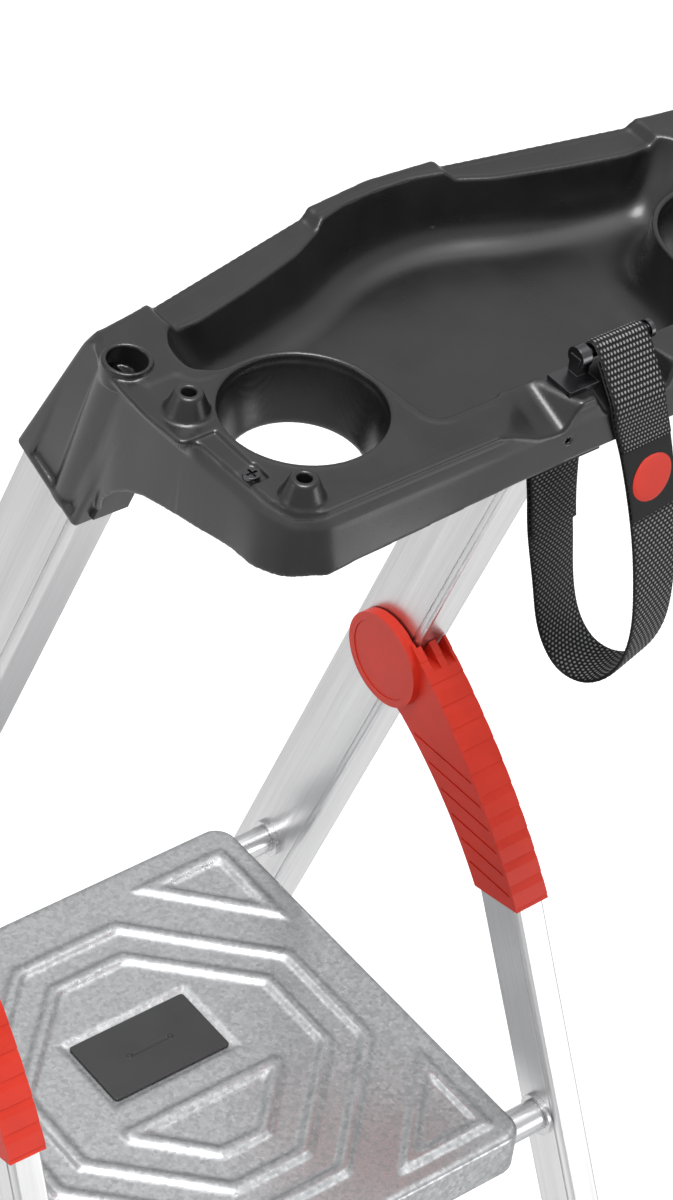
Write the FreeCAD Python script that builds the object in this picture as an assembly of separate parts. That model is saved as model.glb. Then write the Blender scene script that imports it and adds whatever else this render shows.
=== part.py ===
import FreeCAD, Part
import math
import os
from FreeCAD import Vector

# Platform step ladder, standing open.
# Millimetres. +Z is up, +Y points to the rear frame, and the climber stands on the -Y side.
# The floor is Z = 0. Y is worked out from the middle of the platform and moved at the end,
# so that the origin lies on the floor in the middle of the four feet.

# ---- overall sizes -------------------------------------------------------------------------
platform_height = 1150.0
platform_width = 266.0
platform_depth = 276.0
tray_rise = 626.0            # platform top to tray top
tread_count = 4
inner_gap = 313.0            # between the stiles at platform height
splay = 0.030                # sideways spread of each stile and leg per unit of height
stile_lean = 0.354           # rearward lean of the stiles, tangent
leg_lean = 0.456             # forward lean of the rear legs going up, tangent

# ---- front frame -----------------------------------------------------------------------------
stile_depth = 43.0
stile_width = 22.0
stile_wall = 1.8
stile_front_y = -142.0       # front edge of the stile at platform height
corner_radius = 2.4
groove_width = 1.6
groove_depth = 0.7
groove_from_rear = 3.4
foot_floor = 9.0             # rubber under the end of a stile or leg
foot_height = 52.0
foot_wall = 3.0

tread_depth = 82.0
tread_thickness = 27.0
tread_front = 20.0           # how far a tread stands out in front of the stiles
tread_wall = 2.0
tread_rib_count = 10
tread_rib_depth = 0.8
end_cap = 3.0
rivet_radius = 2.6
rivet_head = 5.5
rivet_head_height = 2.4
rivet_tail = 4.0
tread_rivet_y = (34.5, 47.5)  # from the tread's front edge, inside its middle cell
seat_gap = 0.05              # left between curved or slanted faces that seat on each other

front_tube_radius = 8.0
front_tube_wall = 1.5
front_tube_drop = 12.0       # below the platform's top
bush_flange = 3.0
bush_spigot = 14.0
bolt_radius = 4.0

# ---- rear frame ------------------------------------------------------------------------------
leg_depth = 32.0
leg_width = 18.0
leg_wall = 1.6
leg_front_y = 99.7           # front edge of the rear leg at platform height
rear_tube_radius = 9.0
rear_tube_drop = 13.0
brace_thickness = 3.0
brace_width = 32.0
brace_heights = (260.0, 640.0)

# ---- hinge arms ------------------------------------------------------------------------------
pivot_rise = 200.0           # above the platform's top
pivot_from_rear = 11.0       # inside the stile's rear face
pin_radius = 5.0
running_gap = 0.06
arm_gap = 1.0                # between the arm's cheek and the stile's side
stop_gap = 0.45              # between the arm's web and the stile's rear face
cheek = 2.2
arm_width = 21.6
arm_wall = 1.8
disc_radius = 27.5
disc_stand = 4.0             # how far the disc stands proud of the cheek
cap_radius = 23.0
cap_thickness = 1.8
arm_rib_count = 12
arm_rib_depth = 0.6
arm_groove_count = 7
arm_groove_pitch = 10.6
arm_groove_turn = 3.0        # degrees up towards the rear

# ---- platform --------------------------------------------------------------------------------
sheet = 1.5
skirt_height = 27.0
platform_corner = 13.0
platform_edge = 3.5
bead_width = 5.0
bead_height = 1.3
saddle_width = 26.0
saddle_x = 84.0
tube_gap = 0.4
plate_size = (76.0, 45.0)
plate_centre = (2.5, -20.2)
plate_thickness = 1.2

# ---- tray ------------------------------------------------------------------------------------
tray_wall = 3.0
tray_front_y = 229.5
tray_skirt = 29.0
basin_depth = 36.0
basin_front_y = 208.0
cup_x = 118.0
cup_y = 173.6
cup_radius = 34.1            # at the mouth, which narrows to the tube below it
cup_tube_radius = 28.0
cup_flare = 9.0              # depth of the narrowing
cup_depth = 32.0
cup_island = 37.5
sleeve_drop = 92.0           # how far the tray's sleeve reaches down the stile, below the tray's top
sleeve_thick = 3.4
taper_drop = 86.0            # below the tray's top, where the sleeve's front edge starts to lean back
taper_slope = 0.545          # rearward lean of that edge, tangent
post_height = 10.0
post_base = 9.2
post_top = 5.6
post_hole = 3.0
socket_hole = 6.2
socket_x = 162.6
socket_y = 113.8
socket_depth = 5.5
pin_hole_x = 23.5            # a small round hole in the tray's rear wall, beside the strap
pin_hole_drop = 16.2
pin_hole_radius = 1.6
pocket_depth = 1.6           # a square recess for each tray screw
pocket_half = 5.0
screw_head = 3.6
screw_radius = 2.0

# ---- scoops in the tray's rear edge, hook and strap --------------------------------------------
# Each scoop's lip: (x, height from the tray's top).
scoop_lips = (((60, 0), (50.7, -3.5), (39.3, -8.5), (27, -10), (18, 0)),
              ((10, 0), (3.5, -10), (-28.5, -10), (-35, 0)))
scoop_rise = 9.0             # how far a scoop's floor rises from its lip to the basin
hook_bar_radius = 2.5
hook_bar_y = 214.0
hook_bar_rise = 10.0         # above the tray's top
hook_ends = (-28.0, 8.0)
hook_base = (4.4, 20.0, 209.5, 224.0, 2.5)      # x from, x to, y from, y to, thickness
strap_width = 28.0
strap_spot_count = 80
strap_thickness = 2.0
layer_gap = 0.15
hook_clear = 0.4
fold_end_drop = 33.0         # the outer layer ends here, below the tray's top
patch_end_drop = 70.0
patch_thickness = 1.0
lap_start_drop = 98.0        # the sewn end under the basin starts here
# Stations along the strap's middle line: x, y from the tray's rear face, z from the tray's top,
# and the turn of the strap's width in plan, in degrees.
strap_stations = (
    (-12, -10.7, 7.6, 0), (-12, -7.0, 2.8, 0), (-12, -3.0, -2.4, 0), (-12, 0.4, -6.9, 0),
    (-12.5, 1.7, -11.5, 0), (-15, 1.9, -20, 0), (-19.5, 2.3, -33, 2), (-22.5, 3.7, -45, 4),
    (-26, 7.2, -65, 6), (-28, 11.2, -85, 8), (-28.5, 14.6, -103, 10), (-29, 16.3, -120, 12),
    (-29, 15.8, -135, 13), (-28, 12.4, -149, 14), (-25.5, 5.8, -160, 14), (-22, -3.8, -166.5, 14),
    (-18, -14, -166, 14), (-14.5, -22.8, -159, 14), (-12, -28, -147, 13), (-11, -30.6, -130, 12),
    (-9, -31, -110, 8), (-5, -30.2, -90, 6), (-2, -29.6, -70, 4), (0, -29.5, -54, 0), (0, -29.5, -42, 0))
anchor_size = (40.0, 4.0, 16.0)                 # x, thickness of each jaw, height

# ---- worked out from the sizes above -----------------------------------------------------------
lean_angle = math.atan(stile_lean)
leg_angle = math.atan(leg_lean)
splay_angle = math.degrees(math.atan(splay))
floor_half = inner_gap / 2 + splay * platform_height
tray_top = platform_height + tray_rise
riser = platform_height / (tread_count + 1)
far = 4000.0
stile_foot_y = stile_front_y - stile_lean * platform_height
leg_foot_y = leg_front_y + leg_lean * platform_height
pivot_z = platform_height + pivot_rise
leg_x = cheek + arm_gap - arm_wall       # the leg's inner side, inwards of the stile's inner side


def stile_y(z):
    return stile_foot_y + stile_lean * z


def leg_y(z):
    return leg_foot_y - leg_lean * z


stile_rear = stile_depth / math.cos(lean_angle)
leg_rear = leg_depth / math.cos(leg_angle)
pivot_y = stile_y(pivot_z) + stile_rear - pivot_from_rear / math.cos(lean_angle)
front_tube_z = platform_height - front_tube_drop
front_tube_y = stile_y(front_tube_z) + stile_rear / 2
rear_tube_z = platform_height - rear_tube_drop
rear_tube_y = leg_y(rear_tube_z) + leg_rear / 2


# ---- shapes ------------------------------------------------------------------------------------
def box(x0, x1, y0, y1, z0, z1):
    return Part.makeBox(x1 - x0, y1 - y0, z1 - z0, Vector(x0, y0, z0))


def rod(radius, start, end):
    line = Vector(*end) - Vector(*start)
    return Part.makeCylinder(radius, line.Length, Vector(*start), line)


def rod_x(radius, x0, x1, y, z):
    return rod(radius, (x0, y, z), (x1, y, z))


def side_plate(points, x0, x1):
    """A flat plate: an outline in Y and Z, from x0 to x1."""
    wire = Part.makePolygon([Vector(x0, y, z) for y, z in points + points[:1]])
    return Part.Face(wire).extrude(Vector(x1 - x0, 0, 0))


def bar(foot_y, lean, depth, z0, z1, x0, x1):
    """A straight leaning bar. foot_y is its front edge at the floor; its depth is square to it."""
    across = depth * math.sqrt(1 + lean * lean)
    points = [(foot_y + lean * z0, z0), (foot_y + lean * z1, z1)]
    points += [(foot_y + lean * z1 + across, z1), (foot_y + lean * z0 + across, z0)]
    return side_plate(points, x0, x1)


def long_edges(shape, share):
    longest = max(edge.Length for edge in shape.Edges)
    return [edge for edge in shape.Edges if edge.Length > share * longest]


def hollow_bar(foot_y, lean, depth, z0, z1, x0, x1, wall):
    """A tube of rectangular section with rounded edges and a fine groove near its rear edge."""
    slope = math.sqrt(1 + lean * lean)
    outer = bar(foot_y, lean, depth, z0, z1, x0, x1)
    outer = outer.makeFillet(corner_radius, long_edges(outer, 0.9))
    inner = bar(foot_y + wall * slope, lean, depth - 2 * wall, z0 - 5, z1 + 5, x0 + wall, x1 - wall)
    groove_y = foot_y + (depth - groove_from_rear - groove_width) * slope
    for a, b in ((x0 - 1, x0 + groove_depth), (x1 - groove_depth, x1 + 1)):
        outer = outer.cut(bar(groove_y, lean, groove_width, z0 - 5, z1 + 5, a, b))
    return outer.cut(inner)


def right_side(shape):
    """From the plane of a stile's inner side (x = 0, outwards positive) to its place on the right."""
    placed = shape.copy()
    placed.rotate(Vector(0, 0, 0), Vector(0, 1, 0), -splay_angle)
    placed.translate(Vector(floor_half, 0, 0))
    return placed


def mirrored(shape):
    return shape.mirror(Vector(0, 0, 0), Vector(1, 0, 0))


def both(shape):
    """One group of two: the right one and its mirror image."""
    return Part.makeCompound([shape, mirrored(shape)])


def between_sides(clear):
    """All the space between the stiles' inner sides, less a clearance at each side."""
    low = floor_half - clear
    high = low - splay * far
    wire = [Vector(-low, -far, 0), Vector(low, -far, 0), Vector(high, -far, far), Vector(-high, -far, far)]
    return Part.Face(Part.makePolygon(wire + wire[:1])).extrude(Vector(0, 2 * far, 0))


def domed_head(radius, height, x, y, z, outwards):
    """A low rounded rivet or bolt head on a side face."""
    head = rod_x(radius, x, x + outwards * height, y, z)
    rims = [edge for edge in head.Edges if edge.Length > 1 and abs(edge.BoundBox.XMin - x) > height / 2]
    return head.makeFillet(height * 0.7, rims[:1])


# ---- front frame -------------------------------------------------------------------------------
def stile_solid():
    top = tray_top - 9.0
    shape = hollow_bar(stile_foot_y, stile_lean, stile_depth, foot_floor, top, 0, stile_width, stile_wall)
    for y, z in tread_rivet_places():
        shape = shape.cut(rod_x(rivet_radius, -9, stile_width + 9, y, z))
    shape = shape.cut(rod_x(bolt_radius, -9, stile_width + 9, front_tube_y, front_tube_z))
    return right_side(shape.cut(in_front_of_taper(sleeve_thick))).cut(pin_shank(pin_radius))


def tread_rivet_places():
    places = []
    for k in range(1, tread_count + 1):
        front = stile_y(k * riser) - tread_front
        places += [(front + y, k * riser - tread_thickness / 2) for y in tread_rivet_y]
    return places


def tread_outline(k, grow):
    top = k * riser
    y0 = stile_y(top) - tread_front
    y1 = y0 + tread_depth
    lump = box(-far / 4, far / 4, y0 - grow, y1 + grow, top - tread_thickness - grow, top + grow)
    edges = [edge for edge in lump.Edges if edge.Length > far / 4]
    return lump.makeFillet(5.0 + grow, edges)


def tread_solid(k):
    top = k * riser
    y0 = stile_y(top) - tread_front
    shape = tread_outline(k, 0)
    cell = (tread_depth - 4 * tread_wall) / 3
    skin = tread_wall + tread_rib_depth
    for i in range(3):
        y = y0 + tread_wall + i * (cell + tread_wall)
        shape = shape.cut(box(-far, far, y, y + cell, top - tread_thickness + tread_wall, top - skin))
    pitch = (tread_depth - 14.0) / tread_rib_count
    for i in range(tread_rib_count):
        y = y0 + 8.0 + i * pitch
        shape = shape.cut(box(-far, far, y, y + pitch * 0.42, top - tread_rib_depth, top + 5))
    return shape.common(between_sides(end_cap))


def tread_end_caps():
    caps = []
    for k in range(1, tread_count + 1):
        plate = tread_outline(k, 1.0).common(between_sides(0)).cut(between_sides(end_cap))
        caps += plate.Solids
    holes = []
    for y, z in tread_rivet_places():
        holes.append(right_side(rod_x(rivet_radius, -9, 9, y, z)))
    holes += [mirrored(hole) for hole in holes]
    return Part.makeCompound([cap.cut(Part.makeCompound(holes)).Solids[0] for cap in caps])


def tread_rivets():
    rivets = []
    for y, z in tread_rivet_places():
        shank = rod_x(rivet_radius, -end_cap - 1.5, stile_width, y, z)
        head = domed_head(rivet_head, rivet_head_height, stile_width, y, z, 1)
        tail = rod_x(rivet_tail, -end_cap - 3.5, -end_cap, y, z)
        rivets.append(right_side(shank.fuse(head).fuse(tail)))
    rivets += [mirrored(rivet) for rivet in rivets]
    return Part.makeCompound(rivets)


def cross_tube(radius, y, z, clear):
    outer = rod_x(radius, -far / 4, far / 4, y, z)
    inner = rod_x(radius - front_tube_wall, -far / 3, far / 3, y, z)
    return outer.cut(inner).common(between_sides(clear))


def tube_bush(radius, side, y, z):
    """A flanged bush: its flange lies on the side face, its level spigot fills the tube's end."""
    flange = right_side(rod_x(radius + 3.0, side - bush_flange, side, y, z))
    end = floor_half - splay * z + side - bush_flange
    spigot = rod_x(radius - front_tube_wall - seat_gap, end - bush_spigot, end + 1, y, z)
    return flange.fuse(spigot).cut(right_side(rod_x(bolt_radius, side - 40, side + 1, y, z)))


def tube_bolt(x_inner, x_outer, y, z):
    """A bolt through the side into the bush, with a domed head outside."""
    shank = rod_x(bolt_radius, x_inner - bush_flange - bush_spigot + 2, x_outer, y, z)
    return shank.fuse(domed_head(9.0, 3.6, x_outer, y, z, 1))


def foot_solid(foot_y, lean, depth, x0, x1):
    """A boot over the end of a stile or leg, with a flat ribbed sole on the floor."""
    slope = math.sqrt(1 + lean * lean)
    w = foot_wall
    outer = bar(foot_y - w * slope, lean, depth + 2 * w, -8, foot_height, x0 - w, x1 + w)
    outer = outer.makeFillet(corner_radius + 1.5, long_edges(outer, 0.99)[:4])
    shape = right_side(outer.cut(bar(foot_y, lean, depth, foot_floor, far / 10, x0, x1)))
    shape = shape.common(box(-far, far, -far, far, 0, far))
    bounds = shape.BoundBox
    pitch = (bounds.YMax - bounds.YMin) / 6
    for i in range(1, 6):
        y = bounds.YMin + i * pitch
        shape = shape.cut(box(0, far, y - 1.3, y + 1.3, -1, 2.0))
    return shape


# ---- rear frame --------------------------------------------------------------------------------
def arm_point(y, z):
    """A point of the arm's outline, given from the pivot."""
    return Vector(0, pivot_y + y, pivot_z + z)


arm_rear = (arm_point(18.0, 22.0), arm_point(75.6, -26.0), arm_point(123.4, -88.0))
arm_front = (arm_point(89.0, -96.6), arm_point(50.0, -53.5), arm_point(16.0, -29.0))


def arm_outline():
    """The arm seen from the side: from its top behind the stile down to the sleeve on the leg."""
    edges = [Part.Arc(*arm_rear).toShape()]
    edges.append(Part.LineSegment(arm_rear[2], arm_front[0]).toShape())
    edges.append(Part.Arc(*arm_front).toShape())
    edges.append(Part.LineSegment(arm_front[2], arm_point(-6.0, -20.0)).toShape())
    edges.append(Part.LineSegment(arm_point(-6.0, -20.0), arm_point(-4.0, 24.0)).toShape())
    edges.append(Part.LineSegment(arm_point(-4.0, 24.0), arm_rear[0]).toShape())
    return Part.Face(Part.Wire(edges))


def behind_stile():
    """The wedge that stays behind the stile's rear face while the arm turns through its fold."""
    rest = Vector(0, math.cos(lean_angle), -math.sin(lean_angle))
    shut = Vector(0, math.cos(leg_angle), math.sin(leg_angle))
    wedge = box(-far, far, -far, far, 0, far)
    for normal in (rest, shut):
        start = Vector(-far, pivot_y, pivot_z) + normal * (pivot_from_rear + stop_gap)
        lump = Part.makeBox(2 * far, 2 * far, 2 * far)
        turn = FreeCAD.Rotation(Vector(1, 0, 0), Vector(0, normal.y, normal.z).cross(Vector(1, 0, 0)) * -1,
                                normal, "XZY")
        lump.Placement = FreeCAD.Placement(start - turn.multVec(Vector(0, far, 0)), turn)
        wedge = wedge.common(lump)
    return wedge


def arm_arc():
    """Centre and radius of the arm's rear edge."""
    circle = Part.Arc(*arm_rear).toShape().Curve
    return circle.Center, circle.Radius


def leg_solid():
    split = pivot_z - 88.0
    x0, x1 = -leg_x, leg_width - leg_x
    shape = hollow_bar(leg_foot_y, -leg_lean, leg_depth, foot_floor, pivot_z - 44.0, x0, x1, leg_wall)
    centre, radius = arm_arc()
    outside = box(-far / 10, far / 10, -far, far, split, far)
    outside = outside.cut(rod_x(radius - arm_wall - 1.0, -far / 8, far / 8, centre.y, centre.z))
    shape = shape.cut(outside)
    for z in brace_heights:
        shape = shape.cut(brace_rivet(z, rivet_radius))
    shape = shape.cut(rod_x(bolt_radius, -20, 40, rear_tube_y, rear_tube_z))
    return shape


def leg_core():
    """The leg's outside as one solid, to cut its seat in the arm."""
    x0, x1 = -leg_x, leg_width - leg_x
    lump = bar(leg_foot_y, -leg_lean, leg_depth, foot_floor, pivot_z - 44.0, x0, x1)
    centre, radius = arm_arc()
    outside = box(-far / 10, far / 10, -far, far, pivot_z - 88.0, far)
    return lump.cut(outside.cut(rod_x(radius - arm_wall - 0.9, -far / 8, far / 8, centre.y, centre.z)))


def arm_solid():
    x0 = -arm_gap - cheek
    face = arm_outline()
    face.translate(Vector(x0, 0, 0))
    disc = rod_x(disc_radius, x0 - disc_stand, -arm_gap, pivot_y, pivot_z)
    cheek_plate = face.extrude(Vector(cheek, 0, 0))
    web = face.extrude(Vector(arm_width, 0, 0)).common(behind_stile())
    shape = cheek_plate.fuse(web).fuse(disc).removeSplitter()
    shape = shape.cut(rod_x(cap_radius + 0.1, x0 - 20, x0 - disc_stand + cap_thickness, pivot_y, pivot_z))
    shape = arm_ribs(arm_grooves(arm_pockets(shape)))
    return shape.cut(leg_core())


def arm_pockets(shape):
    """Two open pockets in the web's top, between its ribs."""
    for x in (2.0, 11.5):
        shape = shape.cut(box(x, x + 5.2, pivot_y, pivot_y + 60, pivot_z + 12, pivot_z + 60))
    return shape


def arm_grooves(shape):
    """Fine grooves across the arm's inner side, kept inside its edge."""
    x0 = -arm_gap - cheek
    inset = arm_outline().makeOffset2D(-3.0)
    inset.translate(Vector(x0 - 1, 0, 0))
    inside = inset.extrude(Vector(3.0, 0, 0))
    for i in range(arm_groove_count):
        z = pivot_z - 32.0 - i * arm_groove_pitch
        groove = box(x0 - 1, x0 + 0.7, pivot_y - 10, pivot_y + 150, z - 0.7, z + 0.7)
        groove.rotate(Vector(0, pivot_y + 50, z), Vector(1, 0, 0), arm_groove_turn)
        shape = shape.cut(groove.common(inside))
    return shape


def arm_ribs(shape):
    """Shallow steps across the arm's rear edge, evenly spaced along its arc."""
    centre, radius = arm_arc()
    first = math.atan2(arm_rear[0].z - centre.z, arm_rear[0].y - centre.y)
    last = math.atan2(arm_rear[2].z - centre.z, arm_rear[2].y - centre.y)
    for i in range(arm_rib_count):
        angle = first + (last - first) * (i + 0.8) / arm_rib_count
        out = Vector(0, math.cos(angle), math.sin(angle))
        along = Vector(0, out.z, -out.y)
        spot = Vector(-30, centre.y, centre.z) + out * radius
        corners = [spot - out * arm_rib_depth, spot + along * 7.0 + out * 0.2, spot + out * 3]
        notch = Part.Face(Part.makePolygon(corners + corners[:1]))
        shape = shape.cut(notch.extrude(Vector(80, 0, 0)))
    return shape


def cap_solid():
    x0 = -arm_gap - cheek - disc_stand
    return rod_x(cap_radius, x0 + 0.5, x0 + cap_thickness, pivot_y, pivot_z)


def pin_shank(radius, short=0.0):
    """The pivot pin's shank on the right, square to the ladder's middle plane."""
    inner = floor_half - splay * pivot_z
    start = inner - arm_gap - cheek - 1.6 + short
    return rod_x(radius, start, inner + stile_width + 0.6, pivot_y, pivot_z)


def pin_solid():
    inner = floor_half - splay * pivot_z
    head = domed_head(9.0, 3.4, inner + stile_width + 0.35, pivot_y, pivot_z, 1)
    washer = rod_x(8.0, inner + stile_width - 1.5, inner + stile_width + 0.4, pivot_y, pivot_z)
    washer = washer.cut(right_side(box(-far / 20, stile_width, -far, far, 0, far)))
    return pin_shank(pin_radius, 0.4).fuse(head).fuse(washer)


def brace_rivet(z, radius):
    """A rivet through a brace and the leg's rear wall, square to the leg."""
    y = leg_y(z) + leg_rear
    out = Vector(0, math.cos(leg_angle), math.sin(leg_angle))
    middle = leg_width / 2 - leg_x
    start = Vector(middle, y, z) - out * 5
    return Part.makeCylinder(radius, 5.5 + brace_thickness, start, out)


def rear_brace(z):
    """A flat strip across the rear faces of both legs."""
    half = brace_width / 2
    strip = bar(leg_foot_y + leg_rear, -leg_lean, brace_thickness, z - half, z + half, -far / 10, far / 10)
    strip = strip.common(between_sides(leg_x - leg_width))
    x0 = -leg_x - 20
    leg = right_side(bar(leg_foot_y, -leg_lean, leg_depth, z - 3 * half, z + 3 * half, x0, leg_width + 20))
    hole = right_side(brace_rivet(z, rivet_radius))
    return strip.cut(both(leg)).cut(both(hole))


def brace_rivets():
    rivets = []
    out = Vector(0, math.cos(leg_angle), math.sin(leg_angle))
    for z in brace_heights:
        shank = brace_rivet(z, rivet_radius)
        base = Vector(leg_width / 2 - leg_x, leg_y(z) + leg_rear, z) + out * (brace_thickness + 0.2)
        head = Part.makeCylinder(rivet_head, rivet_head_height, base, out)
        rivets.append(right_side(shank.fuse(head)))
    rivets += [mirrored(rivet) for rivet in rivets]
    return Part.makeCompound(rivets)


# ---- platform ----------------------------------------------------------------------------------
def ring(points, z0, z1, width):
    """A raised bead along a closed outline."""
    face = Part.Face(Part.makePolygon([Vector(x, y, z0) for x, y in points + points[:1]]))
    inner = face.makeOffset2D(-width)
    return face.cut(inner).extrude(Vector(0, 0, z1 - z0))


def octagon(a, b, cut_x, cut_y):
    return [(a - cut_x, -b), (a, cut_y - b), (a, b - cut_y), (a - cut_x, b),
            (cut_x - a, b), (-a, b - cut_y), (-a, cut_y - b), (cut_x - a, -b)]


def bead_outlines():
    """Two octagons, one shape inside them and a triangle in each corner."""
    a, b = platform_width / 2, platform_depth / 2
    outlines = [octagon(a - 28, b - 31, 71, 70), octagon(a - 49, b - 52, 60, 58)]
    outlines.append([(-51, 18.5), (51, 18.5), (51, 26), (14, 61), (-14, 61), (-51, 26)])
    for sx in (1, -1):
        for sy in (1, -1):
            x_side, y_side = sx * (a - 12), sy * (b - 14)
            corner = [(x_side, y_side), (x_side, sy * (b - 80)), (sx * (a - 76), y_side)]
            outlines.append(corner if sx * sy > 0 else corner[::-1])
    return outlines


def platform_sheet():
    top = platform_height
    a, b = platform_width / 2, platform_depth / 2
    lump = box(-a, a, -b, b, top - skirt_height, top)
    upright = [e for e in lump.Edges if abs(e.BoundBox.ZMax - e.BoundBox.ZMin) > skirt_height / 2]
    lump = lump.makeFillet(platform_corner, upright)
    rim = [e for e in lump.Edges if e.BoundBox.ZMin > top - 0.01]
    lump = lump.makeFillet(platform_edge, rim)
    inner = box(sheet - a, a - sheet, sheet - b, b - sheet, top - skirt_height - 5, top - sheet)
    upright = [e for e in inner.Edges if abs(e.BoundBox.ZMax - e.BoundBox.ZMin) > skirt_height / 2]
    shape = lump.cut(inner.makeFillet(platform_corner - sheet, upright))
    for points in bead_outlines():
        shape = shape.fuse(ring(points, top, top + bead_height, bead_width))
    shape = shape.cut(rod_x(front_tube_radius + 0.6, -far, far, front_tube_y, front_tube_z))
    return shape.cut(tube_way(rear_tube_radius + 0.6, -far / 8, far / 8)).removeSplitter()


def tube_way(radius, x0, x1):
    """The way that the rear tube takes out of the platform: down, and forwards as it goes."""
    y, z = rear_tube_y, rear_tube_z
    low = platform_height - skirt_height - 30
    points = [(y - radius, z), (y + radius, z), (y + radius, low), (y - radius - 42, low)]
    return side_plate(points, x0, x1).fuse(rod_x(radius, x0, x1, y, z))


def platform_saddles():
    """Blocks under the sheet that sit on the rear tube, open below."""
    top = platform_height - sheet
    block = box(saddle_x, saddle_x + saddle_width, rear_tube_y - 17, rear_tube_y + 13, top - 22, top)
    return both(block.cut(tube_way(rear_tube_radius + tube_gap, saddle_x - 5, saddle_x + saddle_width + 5)))


def platform_sleeves():
    """Sleeves under the sheet that turn on the front tube."""
    outer = front_tube_drop - sheet
    x1 = platform_width / 2 - 8.0
    sleeve = rod_x(outer, x1 - 40, x1, front_tube_y, front_tube_z)
    bore = rod_x(front_tube_radius + running_gap, x1 - 50, x1 + 10, front_tube_y, front_tube_z)
    return both(sleeve.cut(bore))


def platform_stiffeners():
    """Two channels under the sheet, from near the front tube to near the rear one."""
    top = platform_height - sheet
    y0 = front_tube_y + 22
    y1 = rear_tube_y - 24
    channel = box(52, 76, y0, y1, top - 14, top)
    channel = channel.cut(box(52 + sheet, 76 - sheet, y0 - 5, y1 + 5, top - 14 + sheet, top + 5))
    return both(channel)


def platform_plate():
    cx, cy = plate_centre
    w, d = plate_size
    z = platform_height
    plate = box(cx - w / 2, cx + w / 2, cy - d / 2, cy + d / 2, z, z + plate_thickness)
    upright = [e for e in plate.Edges if e.BoundBox.ZMax - e.BoundBox.ZMin > plate_thickness / 2]
    plate = plate.makeFillet(3.0, upright)
    plate = plate.cut(box(cx - 9, cx + 9, cy - 0.6, cy + 0.6, z + 0.6, z + 5))
    for x in (-13, 13):
        plate = plate.cut(rod(1.2, (cx + x, cy, z + 0.5), (cx + x, cy, z + 5)))
    return plate


# ---- tray --------------------------------------------------------------------------------------
def flat_wire(edges, z):
    """A face from lines and arcs in X and Y, mirrored across the middle plane."""
    shapes = []
    for points in edges:
        spots = [Vector(x, y, z) for x, y in points]
        for turned in (spots, [Vector(-p.x, p.y, p.z) for p in spots]):
            curve = Part.Arc(*turned) if len(turned) == 3 else Part.LineSegment(*turned)
            shapes.append(curve.toShape())
    return Part.Face(Part.Wire(Part.__sortEdges__(shapes)))


def deck_outline(z):
    edge = tray_front_y
    return flat_wire([
        [(0, 63), (34, 66)], [(34, 66), (132, 86)], [(132, 86), (160, 94)],
        [(160, 94), (170, 100), (173, 112)], [(173, 112), (173, 166)], [(173, 166), (165, 168)],
        [(165, 168), (164, 212)], [(164, 212), (160, 224), (148, edge)], [(148, edge), (0, edge)]], z)


def basin_outline(z):
    ring_x = cup_x - cup_island
    return flat_wire([
        [(0, 71), (36, 77)], [(36, 77), (130, 101)], [(130, 101), (143, 106), (147, 118)],
        [(147, 118), (147, 128)], [(147, 128), (145, 134), (139, cup_y - cup_island)],
        [(139, cup_y - cup_island), (cup_x, cup_y - cup_island)],
        [(cup_x, cup_y - cup_island), (cup_x - 26.5, cup_y - 26.5), (ring_x, cup_y)],
        [(ring_x, cup_y), (ring_x - 3, 200)],
        [(ring_x - 3, 200), (ring_x - 5, 206), (ring_x - 11, basin_front_y)],
        [(ring_x - 11, basin_front_y), (0, basin_front_y)]], z)


def grown(face, by, depth, z):
    outline = face.makeOffset2D(by) if by else face
    outline = outline if isinstance(outline, Part.Face) else Part.Face(outline)
    return outline.extrude(Vector(0, 0, depth))


def in_front_of_taper(inset):
    """All that lies in front of the sleeve's tapered front edge, moved in by an inset."""
    z = tray_top - taper_drop
    y = stile_y(z) - sleeve_thick * math.sqrt(1 + stile_lean ** 2) + inset * math.sqrt(1 + taper_slope ** 2)
    above = taper_drop + 30
    points = [(y, z), (y + taper_slope * above, z + above), (y - 200, z + above), (y - 200, z)]
    return side_plate(points, -far / 40, far / 40)


def tray_sleeve():
    """The sleeve that carries the tray on the right stile, square to the stile at its lower end."""
    low = tray_top - sleeve_drop
    slope = math.sqrt(1 + stile_lean ** 2)
    wall = sleeve_thick
    shape = bar(stile_foot_y - wall * slope, stile_lean, stile_depth + 2 * wall, low - 40, tray_top - 2,
                -wall, stile_width + wall)
    cutter = box(-50, 90, -200, 200, -200, 0)
    cutter.rotate(Vector(0, 0, 0), Vector(1, 0, 0), -math.degrees(lean_angle))
    cutter.translate(Vector(0, stile_y(low), low + 8))
    return right_side(shape.cut(cutter).cut(in_front_of_taper(0)))


def stile_space():
    space = bar(stile_foot_y, stile_lean, stile_depth, 0, tray_top - 9.0, 0, stile_width)
    return right_side(space.cut(in_front_of_taper(sleeve_thick)))


def end_panel():
    """The tray's end wall, deeper towards the stile."""
    lower = [(92, -2), (92, -100), (96, -100), (106.6, -78.5), (114, -69), (124, -60.5), (134, -55.3),
             (147, -51), (174, -44.5), (207, -37.5), (228, -tray_skirt), (228, -2)]
    return side_plate([(y, tray_top + z) for y, z in lower], 166 - tray_wall, 166)


def scoop(lip, grow):
    """The space of a scoop, or with grow the lump that carries its floor."""
    points = [(lip[0][0], 6)] + list(lip) + [(lip[-1][0], 6)]
    wire = Part.makePolygon([Vector(x, tray_front_y + 1, tray_top + z) for x, z in points + points[:1]])
    face = Part.Face(wire)
    if grow:
        face = face.makeOffset2D(grow)
    run = tray_front_y - basin_front_y + 2
    space = face.extrude(Vector(0, -run, scoop_rise))
    if grow:
        return space.common(box(-far, far, basin_front_y, tray_front_y, tray_top - 20, tray_top - 1))
    return space


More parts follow.
